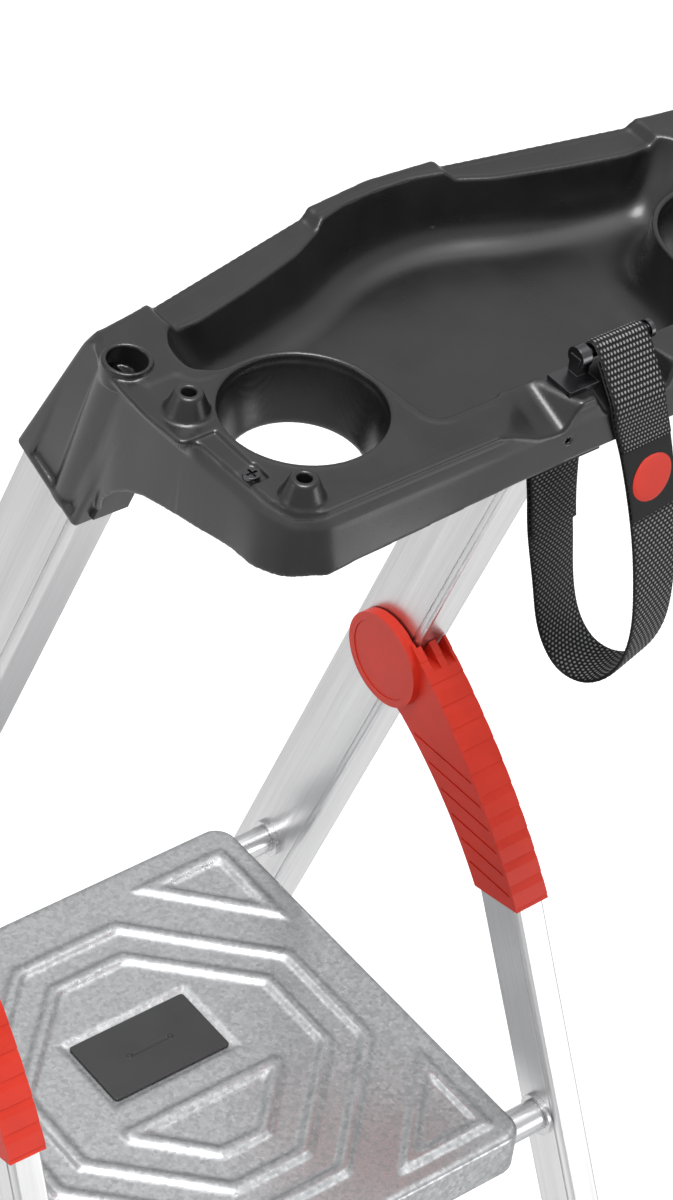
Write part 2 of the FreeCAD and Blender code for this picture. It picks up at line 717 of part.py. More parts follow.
def cup_funnel(x, grow, below_top, over):
    """A cup hole's shape: a narrowing mouth on a tube, grown by a wall or run on past both ends."""
    neck = tray_top - cup_flare - grow
    mouth = tray_top - below_top
    tube = rod(cup_tube_radius + grow, (x, cup_y, tray_top - cup_depth - over), (x, cup_y, neck))
    cone = Part.makeCone(cup_tube_radius + grow, cup_radius + grow, mouth - neck, Vector(x, cup_y, neck))
    shape = tube.fuse(cone)
    if over:
        shape = shape.fuse(rod(cup_radius + grow, (x, cup_y, mouth), (x, cup_y, mouth + over)))
    return shape


def tray_solid():
    top = tray_top
    deck = deck_outline(top)
    skirt = deck.extrude(Vector(0, 0, -tray_skirt))
    hollow = grown(deck_outline(top - tray_wall), -tray_wall, -tray_skirt, top)
    shape = skirt.cut(hollow)
    bowl = grown(basin_outline(top), tray_wall, -basin_depth - tray_wall, top)
    shape = shape.fuse(bowl)
    for side in (1, -1):
        shape = shape.fuse(cup_funnel(side * cup_x, tray_wall, 1.0, 0))
    for lip in scoop_lips:
        shape = shape.fuse(scoop(lip, tray_wall))
    shape = shape.fuse(tray_sleeve()).fuse(mirrored(tray_sleeve()))
    shape = shape.fuse(end_panel()).fuse(mirrored(end_panel()))
    shape = shape.fuse(tray_posts())
    shape = shape.cut(basin_outline(top + 1).extrude(Vector(0, 0, -basin_depth - 1)))
    shape = shape.cut(tray_holes())
    return shape.cut(box(-far, far, -far, far, top + post_height + 1, far))


def post_places():
    return [(158.0, 149.5), (151.0, 216.0)]


def tray_posts():
    posts = []
    for x, y in post_places():
        for side in (1, -1):
            cone = Part.makeCone(post_base, post_top, post_height + 1, Vector(side * x, y, tray_top - 1))
            posts.append(cone)
    return Part.makeCompound(posts)


def screw_place():
    return 160.5, 195.8


def tray_holes():
    """Everything that is open in the tray: cups, posts, sockets, stiles, screws and scoops."""
    top = tray_top
    cuts = []
    for side in (1, -1):
        cuts.append(cup_funnel(side * cup_x, 0, 0, 5.0))
        for x, y in post_places():
            cuts.append(rod(post_hole, (side * x, y, top - 18), (side * x, y, top + post_height + 5)))
        x, y = screw_place()
        reach = pocket_half
        middle = side * x
        cuts.append(box(middle - reach, middle + reach, y - reach, y + reach, top - pocket_depth, top + 5))
        cuts.append(rod(screw_radius, (side * x, y, top - 15), (side * x, y, top + 5)))
        cuts.append(rod(socket_hole, (side * socket_x, socket_y, top - socket_depth),
                        (side * socket_x, socket_y, top + 5)))
    cuts.append(stile_space())
    cuts.append(mirrored(stile_space()))
    cuts += [scoop(lip, 0) for lip in scoop_lips]
    pin_z = top - pin_hole_drop
    inner, outer = (pin_hole_x, tray_front_y - 9, pin_z), (pin_hole_x, tray_front_y + 9, pin_z)
    cuts.append(rod(pin_hole_radius, inner, outer))
    return Part.makeCompound(cuts)


def tray_screws():
    x, y = screw_place()
    z = tray_top - pocket_depth
    shank = rod(screw_radius, (x, y, z - 12), (x, y, z))
    head = rod(screw_head, (x, y, z), (x, y, z + 2.2))
    cross = box(x - 2.6, x + 2.6, y - 0.6, y + 0.6, z + 1.0, z + 5)
    cross = cross.fuse(box(x - 0.6, x + 0.6, y - 2.6, y + 2.6, z + 1.0, z + 5))
    return both(shank.fuse(head).cut(cross))


def sleeve_liner():
    """A liner on the stile's rear face, inside the tray's sleeve and showing below it."""
    low = tray_top - sleeve_drop
    slope = math.sqrt(1 + stile_lean ** 2)
    y0 = stile_foot_y + stile_depth * slope + sleeve_thick * slope
    plate = bar(y0, stile_lean, 2.5, low - 4, low + 30, 2, stile_width - 2)
    return right_side(plate)


def strap_hook():
    """A hook on the tray's deck: a base plate, a post with a round knob, and a bar for the strap."""
    x0, x1, y0, y1, thick = hook_base
    z = tray_top + hook_bar_rise
    base = box(x0, x1, y0, y1, tray_top, tray_top + thick)
    post = box(x0, x0 + 6, hook_bar_y - 3, hook_bar_y + 3, tray_top + thick, z + 1)
    rail = rod_x(hook_bar_radius, hook_ends[0], hook_ends[1], hook_bar_y, z)
    knob = rod_x(hook_bar_radius + 2.4, hook_ends[1] - 3, hook_ends[1] + 2, hook_bar_y, z)
    stop = rod_x(hook_bar_radius + 1.6, hook_ends[0] - 2, hook_ends[0], hook_bar_y, z)
    return base.fuse(post).fuse(rail).fuse(knob).fuse(stop)


# ---- strap -------------------------------------------------------------------------------------
def strap_spots():
    """Points along the strap with the directions of its width and of its outer face."""
    count = strap_spot_count
    points = [Vector(x, tray_front_y + y, tray_top + z) for x, y, z, turn in strap_stations]
    curve = Part.BSplineCurve()
    curve.interpolate(points)
    knots = [curve.parameter(point) for point in points]
    spots = []
    for i in range(count):
        u = knots[0] + (knots[-1] - knots[0]) * i / (count - 1)
        k = max(j for j in range(len(knots) - 1) if knots[j] <= u + 1e-9)
        share = (u - knots[k]) / (knots[k + 1] - knots[k])
        turn = strap_stations[k][3] * (1 - share) + strap_stations[k + 1][3] * share
        spots.append(strap_spot(curve.value(u), curve.tangent(u)[0], math.radians(turn)))
    return spots


def strap_spot(point, along, turn):
    wide = Vector(math.cos(turn), math.sin(turn), 0)
    out = wide.cross(along)
    out.normalize()
    return point, wide, out


def moved_out(spots, by):
    return [(point + out * by, wide, out) for point, wide, out in spots]


def band(spots, thickness):
    """A flat band of the strap's width along the spots."""
    sections = []
    for point, wide, out in spots:
        corners = []
        for sw, sn in ((-1, -1), (1, -1), (1, 1), (-1, 1)):
            corners.append(point + wide * (sw * strap_width / 2) + out * (sn * thickness / 2))
        sections.append(Part.makePolygon(corners + corners[:1]))
    return Part.makeLoft(sections, True, False)


def near_strand(top_drop, end_drop):
    """The part of the strap outside the tray's rear face, between two heights below its top."""
    spots = strap_spots()
    half = len(spots) // 2
    return [s for s in spots[:half] if tray_top - end_drop <= s[0].z <= tray_top - top_drop]


def strap_fold():
    """The strap's end, folded over the hook's bar and sewn down outside."""
    run = moved_out(near_strand(-20, fold_end_drop), strap_thickness + layer_gap)
    centre = Vector(run[0][0].x, hook_bar_y, tray_top + hook_bar_rise)
    radius = hook_bar_radius + hook_clear + strap_thickness / 2
    spots = []
    for degrees in range(220, 39, -15):
        angle = math.radians(degrees)
        out = Vector(0, math.cos(angle), math.sin(angle))
        spots.append((centre + out * radius, Vector(1, 0, 0), out))
    return band(spots + run[1:], strap_thickness)


def strap_patch():
    """The plain patch sewn outside the strap below the fold."""
    run = near_strand(fold_end_drop + 0.5, patch_end_drop)
    run = moved_out(run, strap_thickness / 2 + layer_gap + patch_thickness / 2)
    return band(run, patch_thickness)


def strap_lap():
    """The strap's other end, sewn back on itself on the loop's inner side."""
    spots = strap_spots()
    run = [s for s in spots[len(spots) // 2:] if s[0].z >= tray_top - lap_start_drop]
    return band(moved_out(run, -strap_thickness - layer_gap), strap_thickness)


def strap_anchor():
    """Two jaws under the basin's floor that hold the strap's lower end between them."""
    size_x, thick, height = anchor_size
    y = tray_front_y + strap_stations[-1][1]
    z = tray_top - basin_depth - tray_wall
    near = y + strap_thickness * 1.5 + layer_gap + hook_clear
    gone = y - strap_thickness / 2 - hook_clear
    front = box(-size_x / 2, size_x / 2, near, near + thick, z - height, z)
    back = box(-size_x / 2, size_x / 2, gone - thick, gone, z - height, z)
    link = box(-size_x / 2, -size_x / 2 + 3, gone, near, z - height, z)
    return front.fuse(back).fuse(link)


# ---- the whole ladder ----------------------------------------------------------------------------
def pair(name, shape):
    """A part on each side: the right one as built, and its mirror image on the left."""
    return {name + "_right": shape, name + "_left": mirrored(shape)}


def ladder():
    nodes = {}
    nodes.update(pair("stile", stile_solid()))
    nodes.update(pair("front_foot", foot_solid(stile_foot_y, stile_lean, stile_depth, 0, stile_width)))
    for k in range(1, tread_count + 1):
        nodes["tread_%d" % k] = tread_solid(k)
    nodes["tread_end_caps"] = tread_end_caps()
    nodes["tread_rivets"] = tread_rivets()
    nodes["front_tube"] = cross_tube(front_tube_radius, front_tube_y, front_tube_z, bush_flange + seat_gap)
    nodes["front_tube_bushes"] = both(tube_bush(front_tube_radius, 0, front_tube_y, front_tube_z))
    nodes["front_tube_bolts"] = both(right_side(tube_bolt(0, stile_width, front_tube_y, front_tube_z)))
    nodes["hinge_pins"] = both(pin_solid())
    x0, x1 = -leg_x, leg_width - leg_x
    nodes.update(pair("rear_leg", right_side(leg_solid())))
    nodes.update(pair("rear_foot", foot_solid(leg_foot_y, -leg_lean, leg_depth, x0, x1)))
    nodes.update(pair("hinge_arm", right_side(arm_solid()).cut(pin_shank(pin_radius + running_gap))))
    nodes.update(pair("hinge_cap", right_side(cap_solid())))
    tube_end = leg_x + bush_flange + seat_gap
    nodes["rear_tube"] = cross_tube(rear_tube_radius, rear_tube_y, rear_tube_z, tube_end)
    nodes["rear_tube_bushes"] = both(tube_bush(rear_tube_radius, -leg_x, rear_tube_y, rear_tube_z))
    nodes["rear_tube_bolts"] = both(right_side(tube_bolt(-leg_x, x1, rear_tube_y, rear_tube_z)))
    nodes["rear_brace_lower"] = rear_brace(brace_heights[0])
    nodes["rear_brace_upper"] = rear_brace(brace_heights[1])
    nodes["rear_brace_rivets"] = brace_rivets()
    nodes["platform_sheet"] = platform_sheet()
    nodes["platform_plate"] = platform_plate()
    nodes["platform_sleeves"] = platform_sleeves()
    nodes["platform_saddles"] = platform_saddles()
    nodes["platform_stiffeners"] = platform_stiffeners()
    nodes["tray"] = tray_solid()
    nodes["tray_screws"] = tray_screws()
    nodes["sleeve_liners"] = both(sleeve_liner())
    nodes["strap_hook"] = strap_hook()
    nodes["cable_strap"] = band(strap_spots(), strap_thickness)
    nodes["strap_fold"] = strap_fold()
    nodes["strap_patch"] = strap_patch()
    nodes["strap_lap"] = strap_lap()
    nodes["strap_anchor"] = strap_anchor()
    return nodes


def write(nodes):
    os.makedirs("parts", exist_ok=True)
    middle = (nodes["front_foot_right"].BoundBox.YMin + nodes["rear_foot_right"].BoundBox.YMax) / 2
    for name, shape in nodes.items():
        placed = shape.copy()
        placed.translate(Vector(0, -middle, 0))
        placed.exportStep("parts/%s.step" % name)
        solids = len(placed.Solids)
        volume = placed.Volume
        print("%-22s %2d solids, valid %s, volume %9.0f mm3" % (name, solids, placed.isValid(), volume))
    print("floor middle moved by %.3f" % -middle)
    print("pivot", round(pivot_y - middle, 3), round(pivot_z, 3))
    print("front tube", round(front_tube_y - middle, 3), round(front_tube_z, 3))


write(ladder())
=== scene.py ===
# %% [markdown]
# # A platform step ladder with a moulded tool tray
# The ladder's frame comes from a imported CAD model, already in the right place and size. Here
# it gets its finishes. The pieces whose looks matter most are made again in finer detail: the
# tool tray, the pressed platform with its plate, and the webbing strap with its badge.
#
# All of it could be drawn in CAD as well, but soft radii, pressed beads and a woven surface are
# easier to write as numbers on a grid. Every new piece rides on a body of the CAD model, so it
# moves with that body's joint.

# %% Load the frame
import math

import bpy
import numpy as np
from mathutils import Matrix, Vector


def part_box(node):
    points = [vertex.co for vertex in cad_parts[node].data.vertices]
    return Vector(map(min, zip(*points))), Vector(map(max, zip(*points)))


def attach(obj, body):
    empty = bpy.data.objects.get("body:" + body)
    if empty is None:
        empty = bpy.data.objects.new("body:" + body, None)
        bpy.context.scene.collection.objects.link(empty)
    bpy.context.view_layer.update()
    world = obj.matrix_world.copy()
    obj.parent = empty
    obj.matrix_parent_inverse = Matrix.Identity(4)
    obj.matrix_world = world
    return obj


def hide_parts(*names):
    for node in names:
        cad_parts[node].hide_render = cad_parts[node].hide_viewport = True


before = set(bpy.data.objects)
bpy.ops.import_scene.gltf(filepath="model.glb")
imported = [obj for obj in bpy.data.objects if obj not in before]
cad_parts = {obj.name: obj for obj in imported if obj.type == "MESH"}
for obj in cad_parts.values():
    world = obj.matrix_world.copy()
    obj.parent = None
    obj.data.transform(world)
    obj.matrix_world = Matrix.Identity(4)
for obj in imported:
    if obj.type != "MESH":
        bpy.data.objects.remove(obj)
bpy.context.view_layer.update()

# %% [markdown]
# ## The camera
# The camera looks down from behind the ladder's right side through a long lens, so the sides
# stay nearly parallel. A camera can be turned by three angles or aimed at a target, but a view
# that has to fit an exact direction is easier to give as three directions: right, down and
# forward. They become the columns of the camera's matrix.

# %% Camera
camera_at = Vector((0.99006, 1.10557, 2.82899))
image_right = Vector((-0.789079, 0.606499, 0.097532))
image_down = Vector((0.345135, 0.569058, -0.746361))
image_forward = image_right.cross(image_down).normalized()
camera_data = bpy.data.cameras.new("camera")
camera_data.sensor_width = 36.0
camera_data.lens = 126.0
camera = bpy.data.objects.new("camera", camera_data)
turn = Matrix((image_right.normalized(), -image_down.normalized(), -image_forward)).transposed()
camera.matrix_world = Matrix.Translation(camera_at) @ turn.to_4x4()
bpy.context.scene.collection.objects.link(camera)
bpy.context.scene.camera = camera
bpy.context.scene.view_settings.view_transform = "Standard"
print("camera lens", camera_data.lens, "mm")

# %% [markdown]
# ## Light
# The ladder stands in a plain studio: an even white surround, a wide soft lamp above and two
# weaker ones from the side and from behind. Small hard lamps would give the black plastic sharp
# white spots, and wide ones give it soft bands, as on a real moulding.
#
# The background is white because the surround shows itself to the camera at strength 1, not
# because more light falls on the ladder. Reflections see a third version, paler above and
# darker towards the horizon, so that metal shows where it bends.

# %% Surround
world = bpy.data.worlds.new("studio")
bpy.context.scene.world = world
world.use_nodes = True
sky = world.node_tree
sky.nodes.clear()


def sky_node(kind, **values):
    """A node of the surround, with constants on its inputs."""
    node = sky.nodes.new(kind)
    for name, value in values.items():
        node.inputs[name].default_value = value
    return node


surround_light = 0.46        # what the surround gives to surfaces
path = sky_node("ShaderNodeLightPath")
seen = sky.nodes.new("ShaderNodeMath")
seen.operation = "MAXIMUM"
sky.links.new(path.outputs["Is Camera Ray"], seen.inputs[0])
sky.links.new(path.outputs["Is Transmission Ray"], seen.inputs[1])
lit = sky_node("ShaderNodeBackground", Color=(1, 1, 1, 1), Strength=surround_light)
white = sky_node("ShaderNodeBackground", Color=(1, 1, 1, 1), Strength=1.0)
height = sky.nodes.new("ShaderNodeSeparateXYZ")
sky.links.new(sky.nodes.new("ShaderNodeTexCoord").outputs["Generated"], height.inputs[0])
climb = sky.nodes.new("ShaderNodeValToRGB")
steps = [(0.0, 0.3), (0.3, 0.3), (0.48, 0.4), (0.72, 0.36), (0.9, 1.0)]
while len(climb.color_ramp.elements) < len(steps):
    climb.color_ramp.elements.new(0.5)
for element, (at, level) in zip(climb.color_ramp.elements, steps):
    element.position = at
    element.color = (level, level, level, 1)
sky.links.new(height.outputs["Z"], climb.inputs["Fac"])
glossy = sky_node("ShaderNodeBackground", Strength=2.0)
sky.links.new(climb.outputs["Color"], glossy.inputs["Color"])
mix_glossy = sky.nodes.new("ShaderNodeMixShader")
mix = sky.nodes.new("ShaderNodeMixShader")
out = sky.nodes.new("ShaderNodeOutputWorld")
sky.links.new(path.outputs["Is Glossy Ray"], mix_glossy.inputs[0])
sky.links.new(lit.outputs[0], mix_glossy.inputs[1])
sky.links.new(glossy.outputs[0], mix_glossy.inputs[2])
sky.links.new(seen.outputs[0], mix.inputs[0])
sky.links.new(mix_glossy.outputs[0], mix.inputs[1])
sky.links.new(white.outputs[0], mix.inputs[2])
sky.links.new(mix.outputs[0], out.inputs[0])
print("surround strength", surround_light)

# %% Lamps
look_at = Vector((0.0, 0.05, 1.55))


def soft_lamp(name, place, size, watts):
    """A square area lamp at a place, turned towards the tray."""
    data = bpy.data.lights.new(name, "AREA")
    data.size = size
    data.energy = watts
    lamp = bpy.data.objects.new(name, data)
    lamp.location = place
    lamp.rotation_euler = (look_at - Vector(place)).to_track_quat("-Z", "Y").to_euler()
    bpy.context.scene.collection.objects.link(lamp)
    return lamp


soft_lamp("top_lamp", (0.5, 0.5, 4.2), 1.3, 70)
soft_lamp("side_lamp", (2.6, -0.9, 2.4), 1.2, 6)
soft_lamp("rear_lamp", (-1.6, 2.3, 1.4), 1.2, 13)
print("three soft lamps")

# %% [markdown]
# ## The floor
# A plain pale floor lies under the feet. To the camera it glows just enough to be as white as
# the surround where nothing shades it, so its shadow is all that shows. A shadow catcher would
# do the same, but then metal wouldn't see any floor.

# %% Floor
floor_mesh = bpy.data.meshes.new("floor")
half = 6.0
floor_corners = [(-half, -half, 0), (half, -half, 0), (half, half, 0), (-half, half, 0)]
floor_mesh.from_pydata(floor_corners, [], [(0, 1, 2, 3)])
floor = bpy.data.objects.new("floor", floor_mesh)
bpy.context.scene.collection.objects.link(floor)
floor_paint = bpy.data.materials.new("floor_paint")
floor_paint.use_nodes = True
floor_paint.node_tree.nodes.clear()
ft = floor_paint.node_tree
floor_path = ft.nodes.new("ShaderNodeLightPath")
floor_diffuse = ft.nodes.new("ShaderNodeBsdfDiffuse")
floor_diffuse.inputs["Color"].default_value = (0.86, 0.86, 0.86, 1)
floor_glow = ft.nodes.new("ShaderNodeEmission")
floor_glow.inputs["Strength"].default_value = 0.7
floor_add = ft.nodes.new("ShaderNodeAddShader")
floor_mix = ft.nodes.new("ShaderNodeMixShader")
floor_out = ft.nodes.new("ShaderNodeOutputMaterial")
ft.links.new(floor_diffuse.outputs[0], floor_add.inputs[0])
ft.links.new(floor_glow.outputs[0], floor_add.inputs[1])
floor_share = ft.nodes.new("ShaderNodeMath")
floor_share.operation = "MULTIPLY_ADD"
floor_share.inputs[1].default_value = 0.42        # how much of the glow reflections see
ft.links.new(floor_path.outputs["Is Glossy Ray"], floor_share.inputs[0])
ft.links.new(floor_path.outputs["Is Camera Ray"], floor_share.inputs[2])
ft.links.new(floor_share.outputs[0], floor_mix.inputs[0])
ft.links.new(floor_diffuse.outputs[0], floor_mix.inputs[1])
ft.links.new(floor_add.outputs[0], floor_mix.inputs[2])
ft.links.new(floor_mix.outputs[0], floor_out.inputs[0])
floor_mesh.materials.append(floor_paint)
print("floor", 2 * half, "m wide")

# %% [markdown]
# ## Shared surface effects
# Moulded plastic, rubber and galvanised steel all have a fine grain, and rolled or drawn metal
# has lines along its length. Each material could carry its own noise nodes, but then one change
# has to be made in ten places. So each effect is one node group with named inputs, placed in
# several materials below with other values.

# %% Node group helpers
def group(name, inputs, outputs):
    """A shader node group: inputs are (name, kind, value), outputs are (name, kind)."""
    tree = bpy.data.node_groups.new(name, "ShaderNodeTree")
    for label, kind, value in inputs:
        socket = tree.interface.new_socket(label, in_out="INPUT", socket_type=kind)
        socket.default_value = value
    for label, kind in outputs:
        tree.interface.new_socket(label, in_out="OUTPUT", socket_type=kind)
    return tree, tree.nodes.new("NodeGroupInput"), tree.nodes.new("NodeGroupOutput")


def maths(tree, operation, first, second):
    """A Math node whose inputs are sockets or plain numbers."""
    node = tree.nodes.new("ShaderNodeMath")
    node.operation = operation
    for slot_number, value in enumerate((first, second)):
        if isinstance(value, (int, float)):
            node.inputs[slot_number].default_value = value
        else:
            tree.links.new(value, node.inputs[slot_number])
    return node.outputs[0]


def noise(tree, vector, scale, detail=2.0):
    """A noise from 0 to 1; its scale is a socket or a plain number."""
    node = tree.nodes.new("ShaderNodeTexNoise")
    node.inputs["Detail"].default_value = detail
    tree.links.new(vector, node.inputs["Vector"])
    if isinstance(scale, (int, float)):
        node.inputs["Scale"].default_value = scale
    else:
        tree.links.new(scale, node.inputs["Scale"])
    return node.outputs["Fac"]


print("node group helpers")

# %% Grain group
grain, grain_in, grain_out = group(
    "moulded_grain", [("Scale", "NodeSocketFloat", 900.0)],
    [("Height", "NodeSocketFloat"), ("Mottle", "NodeSocketFloat")])
place = grain.nodes.new("ShaderNodeTexCoord").outputs["Object"]
grain.links.new(noise(grain, place, grain_in.outputs["Scale"]), grain_out.inputs["Height"])
grain.links.new(noise(grain, place, 38.0, 4.0), grain_out.inputs["Mottle"])
print("group", grain.name)

# %% Brushed lines group
brushed, brushed_in, brushed_out = group(
    "brushed_lines", [("Axis", "NodeSocketVector", (0, 0, 1)), ("Density", "NodeSocketFloat", 700.0)],
    [("Height", "NodeSocketFloat"), ("Tone", "NodeSocketFloat")])
place = brushed.nodes.new("ShaderNodeTexCoord").outputs["Object"]
along = brushed.nodes.new("ShaderNodeVectorMath")
along.operation = "DOT_PRODUCT"
brushed.links.new(place, along.inputs[0])
brushed.links.new(brushed_in.outputs["Axis"], along.inputs[1])
share = maths(brushed, "MULTIPLY", along.outputs["Value"], -0.985)
back = brushed.nodes.new("ShaderNodeVectorMath")
back.operation = "SCALE"
brushed.links.new(brushed_in.outputs["Axis"], back.inputs[0])
brushed.links.new(share, back.inputs["Scale"])
flat = brushed.nodes.new("ShaderNodeVectorMath")
flat.operation = "ADD"
brushed.links.new(place, flat.inputs[0])
brushed.links.new(back.outputs[0], flat.inputs[1])
lines = noise(brushed, flat.outputs[0], brushed_in.outputs["Density"], 3.0)
broad = noise(brushed, flat.outputs[0], 90.0, 2.0)
brushed.links.new(lines, brushed_out.inputs["Height"])
brushed.links.new(maths(brushed, "ADD", maths(brushed, "MULTIPLY", lines, 0.45),
                        maths(brushed, "MULTIPLY", broad, 0.55)), brushed_out.inputs["Tone"])
print("group", brushed.name)

# %% [markdown]
# ## Finishes
# The real ladder has seven or eight finishes: black and red plastic, rubber, drawn aluminium,
# steel, galvanised sheet and two kinds of cloth. A flat colour with one roughness looks like
# none of them. One function starts each material with a Principled shader, and each finish
# then adds its own colour variation, roughness and fine relief from the groups above.

# %% Material helpers
def finish(name, colour, metallic, roughness, **extra):
    """A material with a Principled shader; constants go on the shader's own sockets."""
    material = bpy.data.materials.new(name)
    material.use_nodes = True
    tree = material.node_tree
    shader = tree.nodes["Principled BSDF"]
    shader.inputs["Base Color"].default_value = (*colour, 1)
    shader.inputs["Metallic"].default_value = metallic
    shader.inputs["Roughness"].default_value = roughness
    for label, value in extra.items():
        shader.inputs[label.replace("_", " ")].default_value = value
    return material, tree, shader


def use_group(tree, source, **values):
    """A copy of a node group in a material, with its own input values."""
    node = tree.nodes.new("ShaderNodeGroup")
    node.node_tree = source
    for label, value in values.items():
        node.inputs[label].default_value = value
    return node


def ramp(tree, factor, low, high, start=0.35, end=0.65):
    """A colour between low and high as the factor goes from start to end."""
    node = tree.nodes.new("ShaderNodeValToRGB")
    node.color_ramp.elements[0].position = start
    node.color_ramp.elements[0].color = (*low, 1)
    node.color_ramp.elements[1].position = end
    node.color_ramp.elements[1].color = (*high, 1)
    tree.links.new(factor, node.inputs["Fac"])
    return node.outputs["Color"]


def spread(tree, factor, low, high):
    """A number between low and high."""
    node = tree.nodes.new("ShaderNodeMapRange")
    node.inputs["From Min"].default_value = 0.3
    node.inputs["From Max"].default_value = 0.7
    node.inputs["To Min"].default_value = low
    node.inputs["To Max"].default_value = high
    tree.links.new(factor, node.inputs["Value"])
    return node.outputs["Result"]


def relief(tree, shader, height, distance, strength=1.0, rounded=0.0):
    """Fine relief on the shader's normal; rounded softens hard edges over that radius."""
    bump = tree.nodes.new("ShaderNodeBump")
    bump.inputs["Distance"].default_value = distance
    bump.inputs["Strength"].default_value = strength
    tree.links.new(height, bump.inputs["Height"])
    if rounded:
        bevel = tree.nodes.new("ShaderNodeBevel")
        bevel.samples = 4
        bevel.inputs["Radius"].default_value = rounded
        tree.links.new(bevel.outputs[0], bump.inputs["Normal"])
    tree.links.new(bump.outputs[0], shader.inputs["Normal"])


print("material helpers")

# %% Plastics and rubber
def plastic(name, colour, dark, roughness, grain_scale, grain_depth, rounded=0.0, **extra):
    """Moulded plastic: a faint mottle between two colours, and grain as relief."""
    material, tree, shader = finish(name, colour, 0.0, roughness, **extra)
    surface = use_group(tree, grain, Scale=grain_scale)
    tree.links.new(ramp(tree, surface.outputs["Mottle"], dark, colour), shader.inputs["Base Color"])
    tree.links.new(spread(tree, surface.outputs["Mottle"], roughness * 0.88, roughness * 1.12),
                   shader.inputs["Roughness"])
    relief(tree, shader, surface.outputs["Height"], grain_depth, 1.0, rounded)
    return material


tray_black = plastic("tray_black", (0.0115, 0.0115, 0.012), (0.008, 0.008, 0.0085), 0.3,
                     1500.0, 0.00004, Specular_IOR_Level=0.6)
small_black = plastic("small_black", (0.02, 0.02, 0.021), (0.014, 0.014, 0.015), 0.42,
                      1500.0, 0.00005, 0.0006)
sole_rubber = plastic("sole_rubber", (0.022, 0.022, 0.022), (0.014, 0.014, 0.014), 0.7,
                      900.0, 0.00012, 0.001)
arm_red = plastic("arm_red", (0.80, 0.045, 0.022), (0.72, 0.038, 0.018), 0.38,
                  1300.0, 0.00005, Specular_IOR_Level=0.28)
badge_red = plastic("badge_red", (0.72, 0.035, 0.015), (0.66, 0.03, 0.013), 0.4,
                    1300.0, 0.00004, Specular_IOR_Level=0.25)
plate_black = plastic("plate_black", (0.045, 0.046, 0.047), (0.034, 0.035, 0.036), 0.45,
                      1500.0, 0.00005, 0.0006)
print("plastics ready")

# %% Metals
def metal_bar(name, axis, colour, dark, roughness, density=900.0):
    """Drawn or rolled metal with fine lines along an axis."""
    material, tree, shader = finish(name, colour, 1.0, roughness)
    surface = use_group(tree, brushed, Axis=axis, Density=density)
    tones = ramp(tree, surface.outputs["Tone"], dark, colour, 0.3, 0.7)
    tree.links.new(tones, shader.inputs["Base Color"])
    tree.links.new(spread(tree, surface.outputs["Tone"], roughness * 1.25, roughness * 0.8),
                   shader.inputs["Roughness"])
    relief(tree, shader, surface.outputs["Height"], 0.00003, 1.0, 0.0007)
    return material


def bar_axis(lean, side):
    """The direction of a stile or leg: lean is its slope along Y, side is +1 right, -1 left."""
    return Vector((-0.030 * side, lean, 1.0)).normalized()


bright, dull = (0.72, 0.72, 0.725), (0.58, 0.58, 0.585)
leg_bright, leg_dull = (0.80, 0.80, 0.805), (0.66, 0.66, 0.665)
bars = {}
for side, label in ((1, "right"), (-1, "left")):
    bars["stile_" + label] = metal_bar("stile_" + label, bar_axis(0.354, side), bright, dull, 0.32)
    bars["rear_leg_" + label] = metal_bar("rear_leg_" + label, bar_axis(-0.456, side),
                                          leg_bright, leg_dull, 0.36)
cross_metal = metal_bar("cross_metal", (1, 0, 0), (0.80, 0.80, 0.81), (0.66, 0.66, 0.67), 0.33)
tread_metal = metal_bar("tread_metal", (1, 0, 0), (0.82, 0.82, 0.83), (0.68, 0.68, 0.69), 0.38, 600.0)
tube_metal = metal_bar("tube_metal", (1, 0, 0), (0.70, 0.70, 0.71), (0.55, 0.55, 0.56), 0.26, 500.0)


def small_metal(name, colour, roughness):
    """Bolts, rivets and other small steel or aluminium parts."""
    material, tree, shader = finish(name, colour, 1.0, roughness)
    surface = use_group(tree, grain, Scale=700.0)
    tree.links.new(spread(tree, surface.outputs["Mottle"], roughness * 0.8, roughness * 1.2),
                   shader.inputs["Roughness"])
    relief(tree, shader, surface.outputs["Height"], 0.00002, 1.0, 0.0004)
    return material


bolt_metal = small_metal("bolt_metal", (0.62, 0.63, 0.65), 0.25)
rivet_metal = small_metal("rivet_metal", (0.78, 0.78, 0.79), 0.32)
dark_steel = small_metal("dark_steel", (0.10, 0.10, 0.105), 0.22)
print("metals ready")

# %% Galvanised sheet
zinc, zt, zs = finish("galvanised", (0.5, 0.51, 0.52), 0.9, 0.36)
zinc_place = zt.nodes.new("ShaderNodeTexCoord").outputs["Object"]
spangle = zt.nodes.new("ShaderNodeTexVoronoi")
spangle.inputs["Scale"].default_value = 420.0
zt.links.new(zinc_place, spangle.inputs["Vector"])
cloud = noise(zt, zinc_place, 420.0, 5.0)
flake = zt.nodes.new("ShaderNodeSeparateColor")
zt.links.new(spangle.outputs["Color"], flake.inputs[0])
cloud_part = maths(zt, "MULTIPLY", cloud, 0.65)
flake_part = maths(zt, "MULTIPLY", flake.outputs[0], 0.35)
tone = maths(zt, "ADD", cloud_part, flake_part)
zinc_tones = ramp(zt, tone, (0.34, 0.35, 0.36), (0.54, 0.55, 0.56), 0.25, 0.75)
zt.links.new(zinc_tones, zs.inputs["Base Color"])
zt.links.new(spread(zt, tone, 0.36, 0.27), zs.inputs["Roughness"])
zinc_grain = use_group(zt, grain, Scale=600.0)
relief(zt, zs, zinc_grain.outputs["Height"], 0.00004)
print("material", zinc.name)

